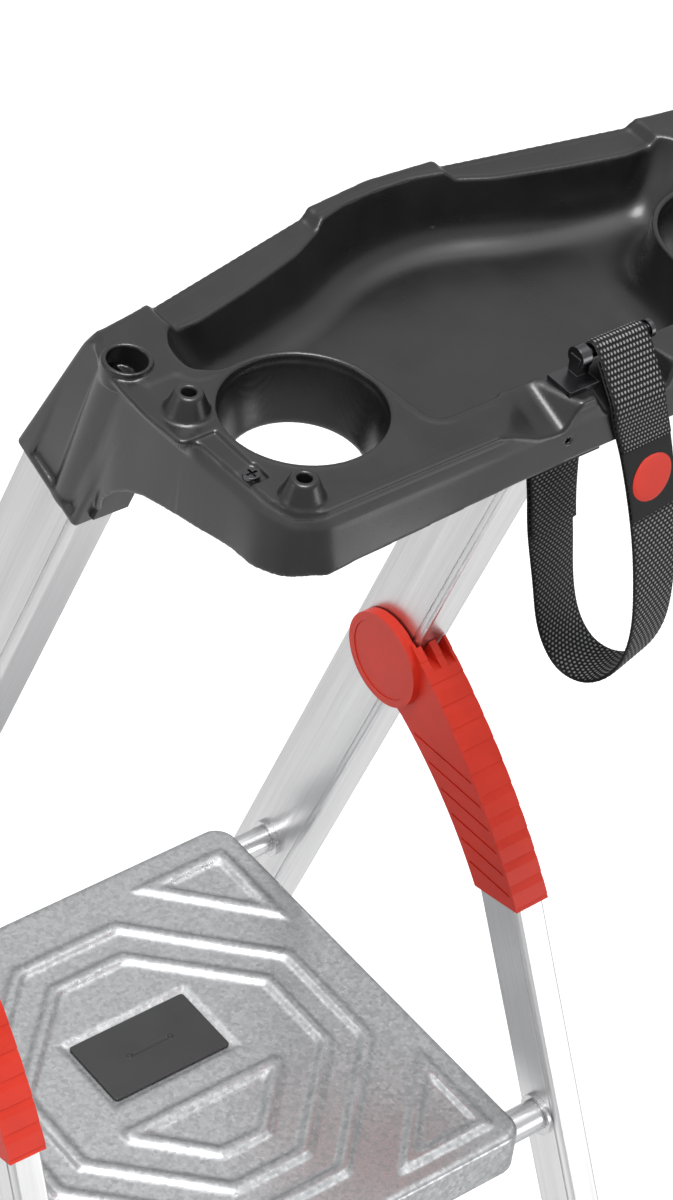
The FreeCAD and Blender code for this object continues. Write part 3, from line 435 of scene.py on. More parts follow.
# %% Webbing
def woven(name, low, high):
    """Yarn with a painted highlight where it stands up and painted shade between the yarns; the mesh
    carries the weave's height as an attribute.
    """
    material, tree, shader = finish(name, high, 0.0, 0.6, Specular_IOR_Level=0.22)
    height = tree.nodes.new("ShaderNodeAttribute")
    height.attribute_name = "weave"
    # painted highlight and shade: the colour runs from the low colour in the weave's hollows to the
    # high colour on the yarn tops, following the weave's height
    yarn_painted_highlight = ramp(tree, height.outputs["Fac"], low, high, 0.55, 0.97)
    tree.links.new(yarn_painted_highlight, shader.inputs["Base Color"])
    fibre = use_group(tree, grain, Scale=2200.0)
    relief(tree, shader, fibre.outputs["Height"], 0.00006)
    return material


# low is painted shade in the hollows between yarns, high is a painted highlight on the yarn tops
webbing = woven("webbing", (0.004, 0.004, 0.0045), (0.34, 0.34, 0.345))
patch_cloth = woven("patch_cloth", (0.009, 0.009, 0.0095), (0.014, 0.014, 0.015))
print("webbing ready")

# %% [markdown]
# ## The CAD nodes that stay
# Stiles, legs, treads, feet and fixings are cut lengths and turned parts, and their CAD shapes
# are already right. They could be made again with bevelled edges, but a Bevel node in their
# finish gives the same soft edge without new meshes, so they only get finishes.

# %% Finishes for CAD nodes
def cad_finish(material, *names):
    """One finish on all the named nodes."""
    for name in names:
        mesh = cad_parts[name].data
        mesh.materials.clear()
        mesh.materials.append(material)


for name, material in bars.items():
    cad_finish(material, name)
cad_finish(tread_metal, "tread_1", "tread_2", "tread_3", "tread_4")
cad_finish(cross_metal, "rear_brace_lower", "rear_brace_upper")
cad_finish(tube_metal, "front_tube", "rear_tube")
cad_finish(sole_rubber, "front_foot_right", "front_foot_left", "rear_foot_right", "rear_foot_left")
cad_finish(small_black, "tread_end_caps", "sleeve_liners", "strap_anchor")
cad_finish(tube_metal, "rear_tube_bushes", "front_tube_bushes")
cad_finish(bolt_metal, "front_tube_bolts", "rear_tube_bolts", "hinge_pins")
cad_finish(rivet_metal, "tread_rivets", "rear_brace_rivets")
cad_finish(zinc, "platform_sleeves", "platform_saddles", "platform_stiffeners")
cad_finish(dark_steel, "strap_hook", "tray_screws")
cad_finish(arm_red, "hinge_arm_right", "hinge_arm_left", "hinge_cap_right", "hinge_cap_left")
print("CAD nodes finished")

# %% [markdown]
# ## Shapes from distances
# A moulded tray has no hard edges: every wall runs into the next with a small radius. Such a
# shape is easiest to write as a distance field, a number for each point of space that is
# negative inside the plastic. Joining two shapes is the smaller of their two numbers, cutting
# is the larger with one turned round, and a smooth version of either gives the moulded radius.
# The surface is then read off where the number is zero. Lengths here are in millimetres, with
# Y from the platform's middle and Z from the surface that the piece is built down from.

# %% Smooth joining and cutting
floor_shift = 55.138         # from the platform's middle to the middle of the floor
tray_top, platform_top = 1776.0, 1150.0


def join(a, b, k=0.0):
    """The union of two distance fields, with a fillet of about k."""
    if not k:
        return np.minimum(a, b)
    h = np.clip(0.5 + 0.5 * (b - a) / k, 0.0, 1.0)
    return b + (a - b) * h - k * h * (1.0 - h)


def overlap(a, b, k=0.0):
    """What two distance fields share, its edges rounded by about k."""
    return -join(-a, -b, k)


def carve(a, b, k=0.0):
    """a with b taken out, its edges rounded by about k."""
    return -join(-a, b, k)


def ease(value, start, end):
    """0 before start, 1 after end, and smooth between."""
    t = np.clip((value - start) / (end - start), 0.0, 1.0)
    return t * t * (3.0 - 2.0 * t)


print("join, overlap, carve and ease")

# %% Outlines
def outline_distance(points, x, y):
    """The signed distance to a closed outline in a plane, negative inside."""
    nearest = np.full(np.broadcast(x, y).shape, 1e9, np.float32)
    crossings = np.zeros(nearest.shape, bool)
    for (ax, ay), (bx, by) in zip(points, points[1:] + points[:1]):
        ex, ey = bx - ax, by - ay
        t = np.clip(((x - ax) * ex + (y - ay) * ey) / max(ex * ex + ey * ey, 1e-9), 0.0, 1.0)
        nearest = np.minimum(nearest, (x - ax - t * ex) ** 2 + (y - ay - t * ey) ** 2)
        if ay != by:
            crossings ^= ((y >= ay) != (y >= by)) & (x < ax + (y - ay) * ex / ey)
    return np.where(crossings, -1.0, 1.0) * np.sqrt(nearest)


def soften(field, reach):
    """A blur in the first two directions: it rounds an outline's corners by about its reach."""
    taps = np.exp(-0.5 * (np.arange(-2 * reach, 2 * reach + 1) / reach) ** 2)
    taps /= taps.sum()
    for axis in (0, 1):
        pad = [(0, 0)] * field.ndim
        pad[axis] = (2 * reach, 2 * reach)
        wide = np.pad(field, pad, mode="edge")
        size = field.shape[axis]
        field = sum(tap * np.take(wide, range(i, i + size), axis) for i, tap in enumerate(taps))
    return field.astype(np.float32)


def mirrored(half):
    """A closed outline from its half with x >= 0."""
    return list(half) + [(-px, py) for px, py in reversed(half) if px > 0]


print("outline helpers")

# %% Reading the surface
cell_corners = np.array([(i, j, k) for i in (0, 1) for j in (0, 1) for k in (0, 1)])
cell_edges = [(a, b) for a in range(8) for b in range(a + 1, 8)
              if np.abs(cell_corners[a] - cell_corners[b]).sum() == 1]


def surface_of(field, start, step):
    """Points and four-sided faces where a distance field is zero."""
    inside = field < 0
    size = np.array(field.shape) - 1
    corner_view = [tuple(slice(c, c + s) for c, s in zip(corner, size)) for corner in cell_corners]
    count = sum(inside[view].astype(np.uint8) for view in corner_view)
    cells = np.argwhere((count > 0) & (count < 8))
    number = np.full(size, -1, np.int32)
    number[tuple(cells.T)] = np.arange(len(cells))
    values = [field[tuple((cells + corner).T)] for corner in cell_corners]
    total, hits = np.zeros((len(cells), 3)), np.zeros(len(cells))
    for a, b in cell_edges:
        crossed = (values[a] < 0) != (values[b] < 0)
        t = np.where(crossed, values[a] / np.where(crossed, values[a] - values[b], 1.0), 0.0)[:, None]
        cut_at = cell_corners[a] + t * (cell_corners[b] - cell_corners[a])
        total += np.where(crossed[:, None], cut_at, 0.0)
        hits += crossed
    points = (cells + total / hits[:, None]) * step + start
    faces = []
    for axis in range(3):
        u, v = (axis + 1) % 3, (axis + 2) % 3
        low = [slice(None)] * 3
        high = [slice(None)] * 3
        low[axis], high[axis] = slice(0, -1), slice(1, None)
        here = np.argwhere(inside[tuple(low)] != inside[tuple(high)])
        in_u = (here[:, u] > 0) & (here[:, u] < size[u])
        in_v = (here[:, v] > 0) & (here[:, v] < size[v])
        here = here[in_u & in_v]
        du, dv = np.eye(3, dtype=int)[u], np.eye(3, dtype=int)[v]
        quad = np.stack([number[tuple((here - s).T)] for s in (du + dv, dv, 0 * du, du)], 1)
        flip = ~inside[tuple(here.T)]
        quad[flip] = quad[flip][:, ::-1]
        faces.append(quad)
    return points, np.concatenate(faces)


print("surface reader with", len(cell_edges), "edges to a cell")

# %% Making objects
def row_frame(points, top):
    """From a piece's own millimetres to the row frame's metres."""
    return (points + np.array([0.0, -floor_shift, top])) / 1000.0


def new_piece(name, points, faces, material, body):
    """A smooth mesh object that rides on a body."""
    mesh = bpy.data.meshes.new(name)
    points = np.ascontiguousarray(points, np.float32)
    faces = np.ascontiguousarray(faces, np.int32)
    sides = faces.shape[1]
    mesh.vertices.add(len(points))
    mesh.vertices.foreach_set("co", points.ravel())
    mesh.loops.add(faces.size)
    mesh.loops.foreach_set("vertex_index", faces.ravel())
    mesh.polygons.add(len(faces))
    mesh.polygons.foreach_set("loop_start", np.arange(0, faces.size, sides, dtype=np.int32))
    mesh.update(calc_edges=True)
    mesh.validate()
    mesh.polygons.foreach_set("use_smooth", np.ones(len(mesh.polygons), bool))
    mesh.materials.append(material)
    piece = bpy.data.objects.new(name, mesh)
    bpy.context.scene.collection.objects.link(piece)
    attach(piece, body)
    return piece


def lighten(piece, share):
    """Fewer faces where the surface is flat."""
    thin = piece.modifiers.new("thin", "DECIMATE")
    thin.ratio = share
    seen_from = bpy.context.evaluated_depsgraph_get()
    mesh = bpy.data.meshes.new_from_object(piece.evaluated_get(seen_from))
    piece.modifiers.clear()
    piece.data = mesh
    mesh.polygons.foreach_set("use_smooth", np.ones(len(mesh.polygons), bool))
    return piece


# %% [markdown]
# ## The tool tray
# The tray is one moulding: a deck with two can holes, a deep basin with a low rim in front, two
# sockets at the ends, four small cones, two scoops in the rear edge and a bracket at each end
# that slips over a stile.
#
# Bevels and a subdivided cage break down where a wall, a cone and a rim meet in one corner. In
# a distance field each of them is a few lines, and every meeting gets its radius by itself. The
# cells below build the deck and its skirt, the brackets, the basin and the cups, and then cut
# and add the small things, in the order in which they lie on each other.

# %% Tray outlines
deck_half = [(0, 63), (34, 66), (132, 86), (157, 91.5), (166, 96.5), (171, 107), (173.5, 125),
             (174.5, 143), (173, 165.5), (165.5, 167), (164, 212), (160, 224), (150, 229.5),
             (0, 229.5)]
basin_half = [(0, 71), (18, 72), (37, 77), (54, 85.5), (88, 95), (117, 101.5), (134, 101.5),
              (143.5, 107.4), (147.5, 118), (148, 129.7), (144, 135), (131, 136.5), (114, 136),
              (97, 142), (85, 158), (79.5, 178), (77.5, 203), (73, 208), (0, 208)]
wall_half = [(0, 64), (34, 67), (132, 87), (156, 95), (165, 103), (168, 115), (168, 140),
             (167, 165), (166, 185), (165, 209), (160, 223), (150, 230.5), (0, 230.5)]
basin_deep, basin_draft, tray_wall = 34.0, 0.2, 2.6
skirt_deep = 27.0
cup_x, cup_y, cup_mouth, cup_tube, cup_deep = 118.0, 173.6, 34.1, 28.0, 32.0
end_lower = [(92, -100), (96, -96), (108, -75), (117, -64), (127, -56), (138, -50.5),
             (151, -47), (178, -41.5), (209, -34.5), (232, -29.0)]
socket_x, socket_y = 162.6, 113.8
cone_places = ((159.0, 150.5), (151.5, 217.0))
screw_x, screw_y = 160.5, 195.8
pin_x, pin_drop = 23.5, 16.2
edge_y = 229.5
scoop_lips = (((60, 0), (50.7, -3.5), (39.3, -8.5), (27, -10), (18, 0)),
              ((10, 0), (3.5, -10), (-28.5, -10), (-35, 0)))
tray_step = 0.9
tx = np.arange(-182, 182.1, tray_step, dtype=np.float32)[:, None, None]
ty = np.arange(38, 236.1, tray_step, dtype=np.float32)[None, :, None]
tz = np.arange(-110, 13.1, tray_step, dtype=np.float32)[None, None, :]
ax = np.abs(tx)
print("tray grid", tx.size, ty.size, tz.size)

# %% Deck, rim and skirt
deck_plan = soften(outline_distance(mirrored(deck_half), tx, ty), 2)
wall_plan = soften(outline_distance(mirrored(wall_half), tx, ty), 4)
basin_plan = soften(outline_distance(mirrored(basin_half), tx, ty), 3)
foot_plan = soften(basin_plan, 11)
rear_rim = 1.0 - ease(ty, 104.0, 112.0)
rim_drop = 4.0 * (ease(ax, 33.0, 39.0) - ease(ax, 128.0, 134.0)) * rear_rim
deck_top = -rim_drop
below_band = ease(-tz, 1.0, 12.0)
flare_slope = 0.05 + 0.18 * ease(ax, 15.0, 140.0)
skirt_flare = ease(ty, 188.0, 229.0) * np.clip(-9.0 - tz, 0.0, 30.0) * flare_slope
skirt_plan = deck_plan * (1.0 - below_band) + wall_plan * below_band - skirt_flare
panel_low = np.interp(ty.ravel(), *zip(*end_lower)).astype(np.float32)[None, :, None]
at_end = ease(ax, 130.0, 160.0)
skirt_low = np.where(ty > 92, panel_low * at_end - skirt_deep * (1.0 - at_end), -skirt_deep)
slab = overlap(overlap(deck_plan, tz - deck_top, 1.2), -tray_wall - rim_drop - tz)
skirt = overlap(np.abs(skirt_plan + tray_wall / 2) - tray_wall / 2, skirt_low - tz, 1.0)
skirt = overlap(skirt, tz - deck_top, 1.2)
tray = join(slab, skirt, 1.5)
del slab, skirt
print("deck and skirt")

# %% Bracket over the stile
stile_front, stile_inside = 79.6, 137.72     # the stile's front and inner face at the deck
stile_half_deep, stile_wide = 21.5, 22.0
sleeve_wall, sleeve_outer_wall = 3.4, 5.0
lean = 0.354                                 # how far a stile goes back for each mm of height
narrowing = 0.03                             # how far it goes inwards for each mm of height
lean_cos, lean_sin = math.cos(math.atan(lean)), math.sin(math.atan(lean))
across = (ty - stile_front - lean * tz) * lean_cos
along_stile = (ty - stile_front) * lean_sin + tz * lean_cos
outwards = ax - stile_inside + narrowing * tz
taper = (47.4 + 0.49 * (tz + 86.0) - ty) / math.sqrt(1 + 0.49 ** 2)
sleeve_foot = -90.5


def stile_box(grow, outer, k):
    """The stile's section, grown by a wall, with its own growth on the outer side."""
    beside = np.maximum(-grow - outwards, outwards - stile_wide - outer)
    shape = overlap(beside, np.abs(across - stile_half_deep) - stile_half_deep - grow, k)
    return overlap(shape, taper + (sleeve_wall - grow), k)


sleeve_ends = np.maximum(sleeve_foot - along_stile, tz + 0.3)
sleeve = overlap(stile_box(sleeve_wall, sleeve_outer_wall, 2.5), sleeve_ends, 1.5)
tray = join(tray, sleeve, 2.5)
ridge = (ty - 90.5 - 0.468 * (tz + 96.0)) / 1.1
recess_floor = 24.6 + 0.06 * (tz + 86.0) + 2.2 * ease(across, 34.0, 46.0)
recess = overlap(np.maximum(9.5 - across, ridge), recess_floor - outwards, 1.0)
recess = overlap(recess, np.maximum(-86.0 - along_stile, tz + 6.0), 1.5)
tray = carve(tray, recess, 1.5)
rib_x, rib_y = ax - 164.0 - narrowing * tz, (ty - 112.6 - 0.35 * tz) * 0.94
rib = np.sqrt(rib_x ** 2 + rib_y ** 2) - 8.6 - 0.025 * tz
rib = overlap(rib, np.maximum(sleeve_foot - along_stile, tz + 1.0), 1.5)
tray = join(tray, rib, 1.8)
shoulder = overlap(taper, tz, 12.0) - 9.0 * (1.0 - ease(ax, 150.0, 166.0))
shoulder = shoulder - 60.0 * (1.0 - ease(ax, 110.0, 140.0))
tray = overlap(tray, shoulder, 1.0)
del sleeve, rib, recess, shoulder
print("brackets")

# %% Basin and cups
end_floor = -7.0 + np.minimum((ax - 138.0) * 1.6, (ax - 138.0) * 0.6)
end_plane = (end_floor - tz) / math.sqrt(1 + 1.3 ** 2)
foot_blend = ease(-tz, 3.0, 26.0)
sides = basin_plan * (1.0 - foot_blend) + foot_plan * foot_blend - tz * basin_draft
bowl_ends = np.maximum(-basin_deep - tray_wall - tz, end_plane - tray_wall)
bowl = overlap(sides - tray_wall, bowl_ends, 9.0)
tray = join(tray, overlap(bowl, tz - deck_top), 1.5)
hollow = overlap(sides, overlap(-basin_deep - tz, end_plane, 8.0), 15.0)
tray = carve(tray, hollow, 1.1)
del bowl, hollow
cup_gap = np.sqrt((ax - cup_x) ** 2 + (ty - cup_y) ** 2)
cup_r = cup_tube + (cup_mouth + 0.6 - cup_tube) * np.clip(1.0 + tz / cup_deep, 0.0, 1.3)
tube = overlap(cup_gap - cup_r - 2.8, np.maximum(-cup_deep - tz, tz + 1.5), 0.8)
tray = join(tray, tube, 2.5)
lip = np.sqrt((cup_gap - 35.6) ** 2 + (tz + 1.0) ** 2) - 2.1
tray = join(tray, lip, 0.6)
tray = carve(tray, (cup_gap - cup_r) * 0.98, 3.6)
stile_hole = overlap(stile_box(0.0, 0.0, 0.5), tz + 9.0)
tray = carve(tray, stile_hole)
del stile_hole
print("basin and cups")

# %% Sockets, cones, screws and scoops
def upright(px, py, radius, low, high, k=0.8):
    """A standing cylinder on both sides of the tray, from low to high."""
    gap = np.sqrt((ax - px) ** 2 + (ty - py) ** 2)
    return overlap(gap - radius, np.maximum(low - tz, tz - high), k)


boss = upright(socket_x, socket_y, 10.9, -8.0, 3.2, 1.4)
tray = join(tray, boss, 0.9)
socket_bore = np.sqrt((ax - socket_x) ** 2 + ((ty - 113.4 - 0.33 * tz) * 0.94) ** 2) - 6.2
socket_bore = socket_bore - 2.1 * ease(tz, -8.0, 3.0)
socket_end = np.maximum(-15.0 - tz, np.minimum(-7.6 - tz, 161.2 - ax))
tray = carve(tray, overlap(socket_bore, socket_end), 1.8)
for px, py in cone_places:
    gap = np.sqrt((ax - px) ** 2 + (ty - py) ** 2)
    cone = overlap((gap - 10.0 + 0.44 * tz) * 0.9, np.maximum(-3.0 - tz, tz - 9.8), 0.9)
    tray = join(tray, cone, 1.4)
    tray = carve(tray, upright(px, py, 3.0, -12.0, 14.0), 1.0)
strip = overlap(np.maximum(156.5 - ax, 166.5 - ty), np.maximum(ty - 190.5, -1.3 - tz), 0.8)
pocket = overlap(np.maximum(np.abs(ax - screw_x) - 5.0, np.abs(ty - screw_y) - 5.0), -1.7 - tz, 0.8)
tray = carve(carve(tray, strip, 0.8), pocket, 0.8)
tray = carve(tray, upright(screw_x, screw_y, 2.0, -14.0, 4.0))
for lips in scoop_lips:
    rise = (edge_y - ty) * (9.0 / 23.5)
    points = [(lips[0][0] + 1, 12)] + list(lips) + [(lips[-1][0] - 1, 12)]
    cut = soften(outline_distance(points, tx, tz - rise), 2)
    near_edge = np.maximum(206.0 - ty, ty - 240.0)
    outside = np.maximum(tz - deck_top, ty - 229.0 - skirt_flare)
    shell = overlap(overlap(cut - tray_wall, near_edge), outside, 1.0)
    tray = carve(join(tray, shell, 1.0), overlap(cut, near_edge, 2.5), 1.6)
pin_gap = np.sqrt((tx - pin_x) ** 2 + (tz + pin_drop) ** 2)
tray = carve(tray, overlap(pin_gap - 1.5, 225.0 - ty))
print("tray field", tray.shape)

# %% Tray surface
points, faces = surface_of(tray, np.array([tx.min(), ty.min(), tz.min()]), tray_step)
tray_points = row_frame(points, tray_top)
tray_piece = new_piece("tool_tray", tray_points, faces, tray_black, "front_frame")
lighten(tray_piece, 0.3)
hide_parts("tray")
print("tray:", len(tray_piece.data.polygons), "faces")
del tray

# %% [markdown]
# ## The platform
# The platform is pressed from galvanised sheet. Raised beads stiffen it: two octagons, one
# figure inside them and a triangle in each corner, and a black plate lies in a shallow recess.
#
# The beads could be swept tubes joined to a flat box, but their ends and corners would show.
# Here the sheet's top is a height that rises smoothly near each bead's line, and everything
# under the sheet's thickness is taken out, so the beads are hollow from below as well.

# %% Platform beads
sheet_step = 0.9
sx = np.arange(-137, 137.1, sheet_step, dtype=np.float32)[:, None, None]
sy = np.arange(-142, 142.1, sheet_step, dtype=np.float32)[None, :, None]
sz = np.arange(-30, 4.1, sheet_step, dtype=np.float32)[None, None, :]


def octagon(a, b, cut_x, cut_y):
    """A rectangle of half sizes a and b with its corners cut off."""
    return [(a - cut_x, -b), (a, cut_y - b), (a, b - cut_y), (a - cut_x, b),
            (cut_x - a, b), (-a, b - cut_y), (-a, cut_y - b), (cut_x - a, -b)]


bead_lines = [octagon(107, 109, 72, 71), octagon(86, 88, 61, 59),
              [(-53, 18.5), (53, 18.5), (53, 28), (16, 65), (-16, 65), (-53, 28)]]
for side_x in (1, -1):
    for side_y in (1, -1):
        bead_lines.append([(side_x * 121, side_y * 124), (side_x * 121, side_y * 54),
                           (side_x * 53, side_y * 124)])
bead_half, bead_rise, bead_shift = 5.8, 1.8, 2.0
plate_low, plate_high = (np.array(corner) * 1000.0 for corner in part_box("platform_plate"))
plate_mid, plate_span = (plate_low + plate_high) / 2, (plate_high - plate_low) / 2
plate_mid[1] += floor_shift
plate_sunk = 1.2
bead = np.zeros((sx.size, sy.size, 1), np.float32)
for points in bead_lines:
    away = soften(outline_distance(points, sx, sy - bead_shift), 2) + 5.0
    bead = np.maximum(bead, bead_rise * (1.0 - ease(np.abs(away), 1.0, bead_half)))
near_plate = np.maximum(np.abs(sx - plate_mid[0]) - plate_span[0],
                        np.abs(sy - plate_mid[1]) - plate_span[1])
bead = bead - plate_sunk * (1.0 - ease(near_plate, 0.8, 5.0))
print("beads", len(bead_lines))

# %% Platform sheet
def rounded_box(half_x, half_y, corner):
    """The signed distance to an upright block with rounded corners."""
    dx, dy = np.abs(sx) - (half_x - corner), np.abs(sy) - (half_y - corner)
    outside = np.sqrt(np.maximum(dx, 0) ** 2 + np.maximum(dy, 0) ** 2)
    return outside + np.minimum(np.maximum(dx, dy), 0) - corner


sheet_thick, sheet_sides = 1.8, 27.0
half_wide, half_deep, sheet_corner = 133, 138, 13
front_tube_y, front_tube_drop = 123.44, 12.0
rear_tube_y, rear_tube_drop = 123.2, 13.0
outer = overlap(rounded_box(half_wide, half_deep, sheet_corner), sz - bead, 4.5)
inner_plan = rounded_box(half_wide - sheet_thick, half_deep - sheet_thick, sheet_corner - sheet_thick)
inner = overlap(inner_plan, sz - bead + sheet_thick, 3.0)
sheet = overlap(carve(outer, inner), -sheet_sides - sz)
front_tube_way = np.sqrt((sy + front_tube_y) ** 2 + (sz + front_tube_drop) ** 2) - 8.6
rear_way = np.sqrt((sy - rear_tube_y) ** 2 + (sz + rear_tube_drop) ** 2) - 9.6
slot_off = np.abs(sy - rear_tube_y - (sz + rear_tube_drop) * 0.4)
rear_slot = np.maximum(slot_off - 10.0, sz + rear_tube_drop)
sheet = carve(sheet, join(front_tube_way, join(rear_way, rear_slot)))
points, faces = surface_of(sheet, np.array([sx.min(), sy.min(), sz.min()]), sheet_step)
sheet_points = row_frame(points, platform_top)
platform_piece = new_piece("platform_top", sheet_points, faces, zinc,
                           "platform")
lighten(platform_piece, 0.35)
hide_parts("platform_sheet")
print("platform:", len(platform_piece.data.polygons), "faces")

# %% Plate in its recess
plate_step = 0.5
px = np.arange(-plate_span[0] - 2, plate_span[0] + 2.1, plate_step)[:, None, None]
py = np.arange(-plate_span[1] - 2, plate_span[1] + 2.1, plate_step)[None, :, None]
pz = np.arange(-2.0, 3.1, plate_step)[None, None, :]
corner = 2.5
dx, dy = np.abs(px) - plate_span[0] + corner, np.abs(py) - plate_span[1] + corner
plate_plan = np.sqrt(np.maximum(dx, 0) ** 2 + np.maximum(dy, 0) ** 2)
plate_plan = plate_plan + np.minimum(np.maximum(dx, dy), 0) - corner
plate_field = overlap(plate_plan, np.maximum(pz - 1.4, -pz), 0.9)
groove_y, stud_x = 0.4, 13.5
groove = np.maximum(np.abs(py - groove_y) - 0.5, np.maximum(np.abs(px) - 12.0, 0.9 - pz))
plate_field = carve(plate_field, groove, 0.4)
for side in (1, -1):
    stud = np.sqrt((px - side * stud_x) ** 2 + (py - groove_y) ** 2 + (pz - 1.1) ** 2) - 1.5
    plate_field = join(plate_field, stud, 0.4)
points, faces = surface_of(plate_field, np.array([px.min(), py.min(), pz.min()]), plate_step)
points += np.array([plate_mid[0], plate_mid[1], -plate_sunk])
plate_points = row_frame(points, platform_top)
plate_piece = new_piece("plate_in_recess", plate_points, faces, plate_black,
                        "platform")
lighten(plate_piece, 0.5)
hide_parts("platform_plate")
print("plate:", len(plate_piece.data.polygons), "faces")

# %% [markdown]
# ## The cable strap
# The strap is flat webbing. It hangs from a hook over the tray's edge, makes a loop and goes
# back up under the basin, where its sewn end lies on the loop's inner side.
#
# Webbing could be a plain ribbon with a woven picture on it, but close by its edge would look
# like paper. A closed band follows the strap's middle line instead, and the weave is real
# relief on both faces. The yarns' height also goes with the mesh, and the finish uses it to
# paint a highlight on each yarn's top and shade between the yarns.

# %% The strap's line
strap_width, strap_thick = 28.0, 2.0
stations = np.array([
    (-12, -10.7, 7.6, 0), (-12, -7.0, 2.8, 0), (-12, -3.0, -2.4, 0), (-12, 0.4, -6.9, 0),
    (-12.5, 1.7, -11.5, 0), (-15, 1.9, -20, 0), (-19.5, 2.3, -33, 2), (-22.5, 3.7, -45, 4),
    (-26, 7.2, -65, 6), (-28, 11.2, -85, 8), (-28.5, 14.6, -103, 10), (-29, 16.3, -120, 12),
    (-29, 15.8, -135, 13), (-28, 12.4, -149, 14), (-26, 6.0, -160, 14), (-23, -3.4, -166.5, 14),
    (-20, -13, -166, 14), (-17.2, -21.2, -158, 14), (-15.2, -26.2, -146, 13),
    (-13.4, -29.2, -130, 12), (-10, -30.4, -110, 8), (-5.4, -30.0, -90, 6), (-2, -29.6, -70, 4),
    (0, -29.5, -54, 0), (0, -29.5, -42, 0)])
stations[:, 1] += edge_y


def smooth_line(knots, spacing):
    """A natural cubic spline through the knots, read at an even spacing."""
    chord = np.concatenate([[0.0], np.cumsum(np.linalg.norm(np.diff(knots[:, :3], axis=0), axis=1))])
    size = len(chord)
    gaps = np.diff(chord)
    system, right = np.eye(size), np.zeros((size, knots.shape[1]))
    for i in range(1, size - 1):
        system[i, i - 1:i + 2] = gaps[i - 1], 2 * (gaps[i - 1] + gaps[i]), gaps[i]
        after, before = (knots[i + 1] - knots[i]) / gaps[i], (knots[i] - knots[i - 1]) / gaps[i - 1]
        right[i] = 6 * (after - before)
    bend = np.linalg.solve(system, right)
    at = np.linspace(0.0, chord[-1], int(chord[-1] / spacing) + 1)
    k = np.clip(np.searchsorted(chord, at, "right") - 1, 0, size - 2)
    g, a, b = gaps[k][:, None], (chord[k + 1] - at)[:, None], (at - chord[k])[:, None]
    line = (bend[k] * a ** 3 + bend[k + 1] * b ** 3) / (6 * g)
    return line + (knots[k] / g - bend[k] * g / 6) * a + (knots[k + 1] / g - bend[k + 1] * g / 6) * b


def strap_frame(line):
    """Middle points, width directions and outer directions along a line with its turns."""
    middle = line[:, :3]
    turned = np.radians(line[:, 3])
    wide = np.stack([np.cos(turned), np.sin(turned), 0 * turned], 1)
    ahead = np.gradient(middle, axis=0)
    out = np.cross(wide, ahead)
    return middle, wide, out / np.linalg.norm(out, axis=1)[:, None]


strap_spacing = 0.4
strap_run = strap_frame(smooth_line(stations, strap_spacing))
print("strap length", round(len(strap_run[0]) * strap_spacing), "mm")

# %% Woven bands
def weave_height(u, v, pitch_u, pitch_v, shift):
    """The height of a coarse weave, from 0 between yarns to 1 on top of them."""
    row = np.floor(v / pitch_v)
    hump = np.abs(np.sin(np.pi * (u / pitch_u + shift * row))) * np.abs(np.sin(np.pi * v / pitch_v))
    return hump ** 0.7


def band(name, run, thickness, offset, weave, depth, material, columns=72):
    """A closed flat band along a run, moved outwards by an offset, with woven relief."""
    middle, wide, out = run
    u = np.linspace(-strap_width / 2, strap_width / 2, columns)
    v = np.arange(len(middle)) * strap_spacing
    height = weave_height(u[None, :], v[:, None], *weave)
    edge = np.sqrt(np.clip(1.0 - np.abs(u / (strap_width / 2)) ** 14, 0.0, 1.0))[None, :]
    rise = (thickness / 2 - depth + depth * height) * edge
    base = middle[:, None] + wide[:, None] * u[None, :, None] + out[:, None] * offset
    upper, lower = base + out[:, None] * rise[..., None], base - out[:, None] * rise[..., None]
    ring = np.concatenate([upper, lower[:, ::-1]], 1)
    rows, size = ring.shape[:2]
    number = np.arange(rows * size).reshape(rows, size)
    beside = np.roll(number, -1, 1)
    quads = np.stack([number[:-1], beside[:-1], beside[1:], number[1:]], -1).reshape(-1, 4)
    ends = []
    for r, flip in ((0, True), (rows - 1, False)):
        for c in range(columns - 1):
            face = [number[r, c], number[r, c + 1], number[r, size - 2 - c], number[r, size - 1 - c]]
            ends.append(face[::-1] if flip else face)
    piece = new_piece(name, row_frame(ring.reshape(-1, 3), tray_top),
                      np.concatenate([quads, np.array(ends)]), material, "front_frame")
    # the weave's height at each point, which the finish turns into a painted highlight on yarn tops
    # and painted shade between them
    value = np.concatenate([height * edge, (height * edge)[:, ::-1]], 1).astype(np.float32)
    mark = piece.data.attributes.new("weave", "FLOAT", "POINT")
    mark.data.foreach_set("value", value.ravel())
    return piece


def part_of(run, keep):
    """The stretch of a run where keep is true."""
    return tuple(values[keep] for values in run)


twill, ribbed, plain = (2.6, 1.9, 0.5), (1.75, 2.4, 0.5), (0.8, 0.8, 0.5)
loop = band("strap_loop", strap_run, strap_thick, 0.0, twill, 0.35, webbing)
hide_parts("cable_strap")
order = np.arange(len(strap_run[0]))
near = order < len(order) // 2
height_now = strap_run[0][:, 2]
print("loop:", len(loop.data.polygons), "faces")

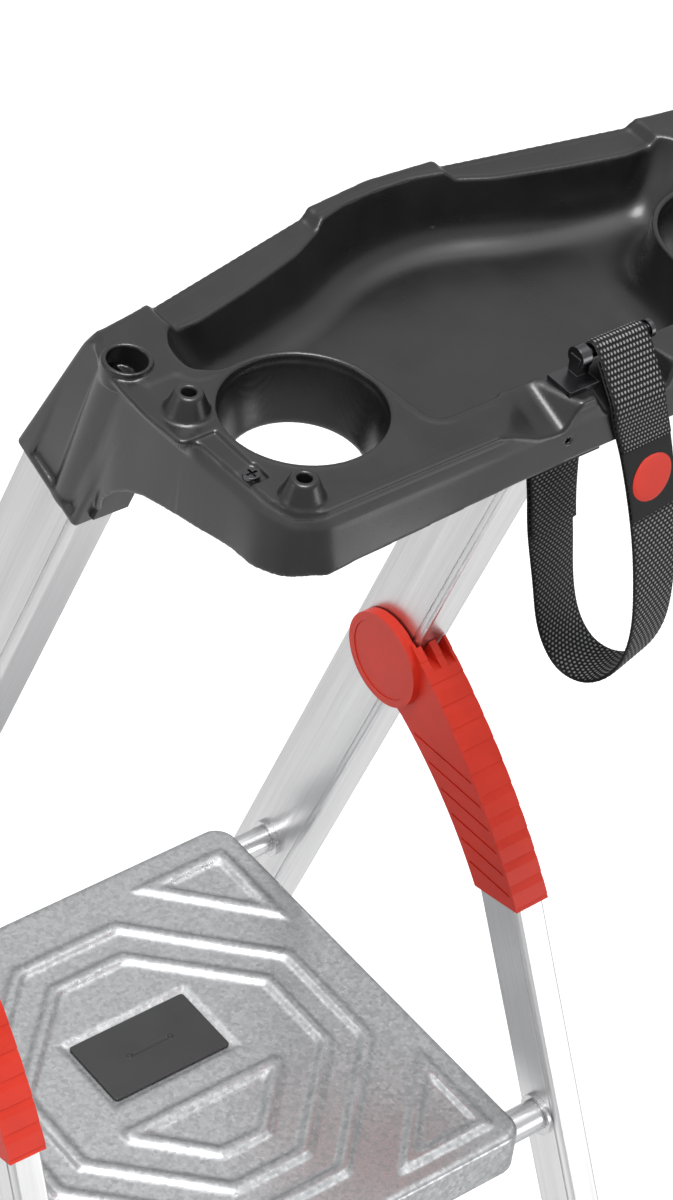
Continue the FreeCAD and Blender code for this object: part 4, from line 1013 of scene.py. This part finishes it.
# %% Fold, patch and lap
layer = strap_thick + 0.15
near_run = part_of(strap_run, near & (height_now > -33.0))
turn_angles = np.radians(np.arange(220.0, 38.0, -6.0))
turn_out = np.stack([0 * turn_angles, np.cos(turn_angles), np.sin(turn_angles)], 1)
hook_bar, turn_radius = np.array([-12.0, 214.0, 10.0]), 3.9
turn_middle = hook_bar + turn_out * turn_radius
fold_path = np.concatenate([turn_middle, (near_run[0] + near_run[2] * layer)[3:]])
fold_knots = np.concatenate([fold_path, np.zeros((len(fold_path), 1))], 1)
fold_knots[-20:, 3] = np.linspace(0, 2, 20)
fold_run = strap_frame(smooth_line(fold_knots[::3], strap_spacing))
fold = band("strap_fold_over", fold_run, strap_thick, 0.0, ribbed, 0.45, webbing)
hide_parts("strap_fold")
patch_run = part_of(strap_run, near & (height_now < -33.5) & (height_now > -70.0))
patch = band("strap_label_patch", patch_run, 1.0, strap_thick / 2 + 0.65, plain, 0.08,
             patch_cloth)
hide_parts("strap_patch")
lap_run = part_of(strap_run, ~near & (height_now > -98.0))
lap = band("strap_sewn_end", lap_run, strap_thick, -layer, twill, 0.35, webbing)
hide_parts("strap_lap")
print("fold, patch and sewn end")

# %% Badge on the patch
badge_rows, badge_ring = 9, 48
badge_radius, badge_thick = 11.6, 0.45
centre = len(patch_run[0]) // 2
badge_points = [(0.0, 0.0, badge_thick)]
for r in range(1, badge_rows + 1):
    radius = badge_radius * r / badge_rows
    rise = badge_thick * math.sqrt(max(0.0, 1 - (r / badge_rows) ** 8))
    for c in range(badge_ring):
        angle = 2 * math.pi * c / badge_ring
        badge_points.append((radius * math.cos(angle), radius * math.sin(angle), rise))
rings = 1 + np.arange(badge_rows * badge_ring).reshape(badge_rows, badge_ring)
beside = np.roll(rings, -1, 1)
badge_faces = np.stack([rings[:-1], rings[1:], beside[1:], beside[:-1]], -1).reshape(-1, 4)
hub = np.stack([np.zeros(badge_ring // 2, int), rings[0][::2], rings[0][1::2], beside[0][1::2]], 1)
across_d, out_d = patch_run[1][centre], patch_run[2][centre]
down_d = np.cross(across_d, out_d)
flat_points = np.array(badge_points)
badge_at = patch_run[0][centre] + out_d * (strap_thick / 2 + 1.2)
placed = badge_at + flat_points[:, :1] * across_d + flat_points[:, 1:2] * down_d
placed = placed + flat_points[:, 2:] * out_d
new_piece("strap_badge", row_frame(placed, tray_top), np.concatenate([badge_faces, hub]),
          badge_red, "front_frame")
print("badge of", 2 * badge_radius, "mm")

# %% [markdown]
# ## Finish

# %% End
print("end of script")
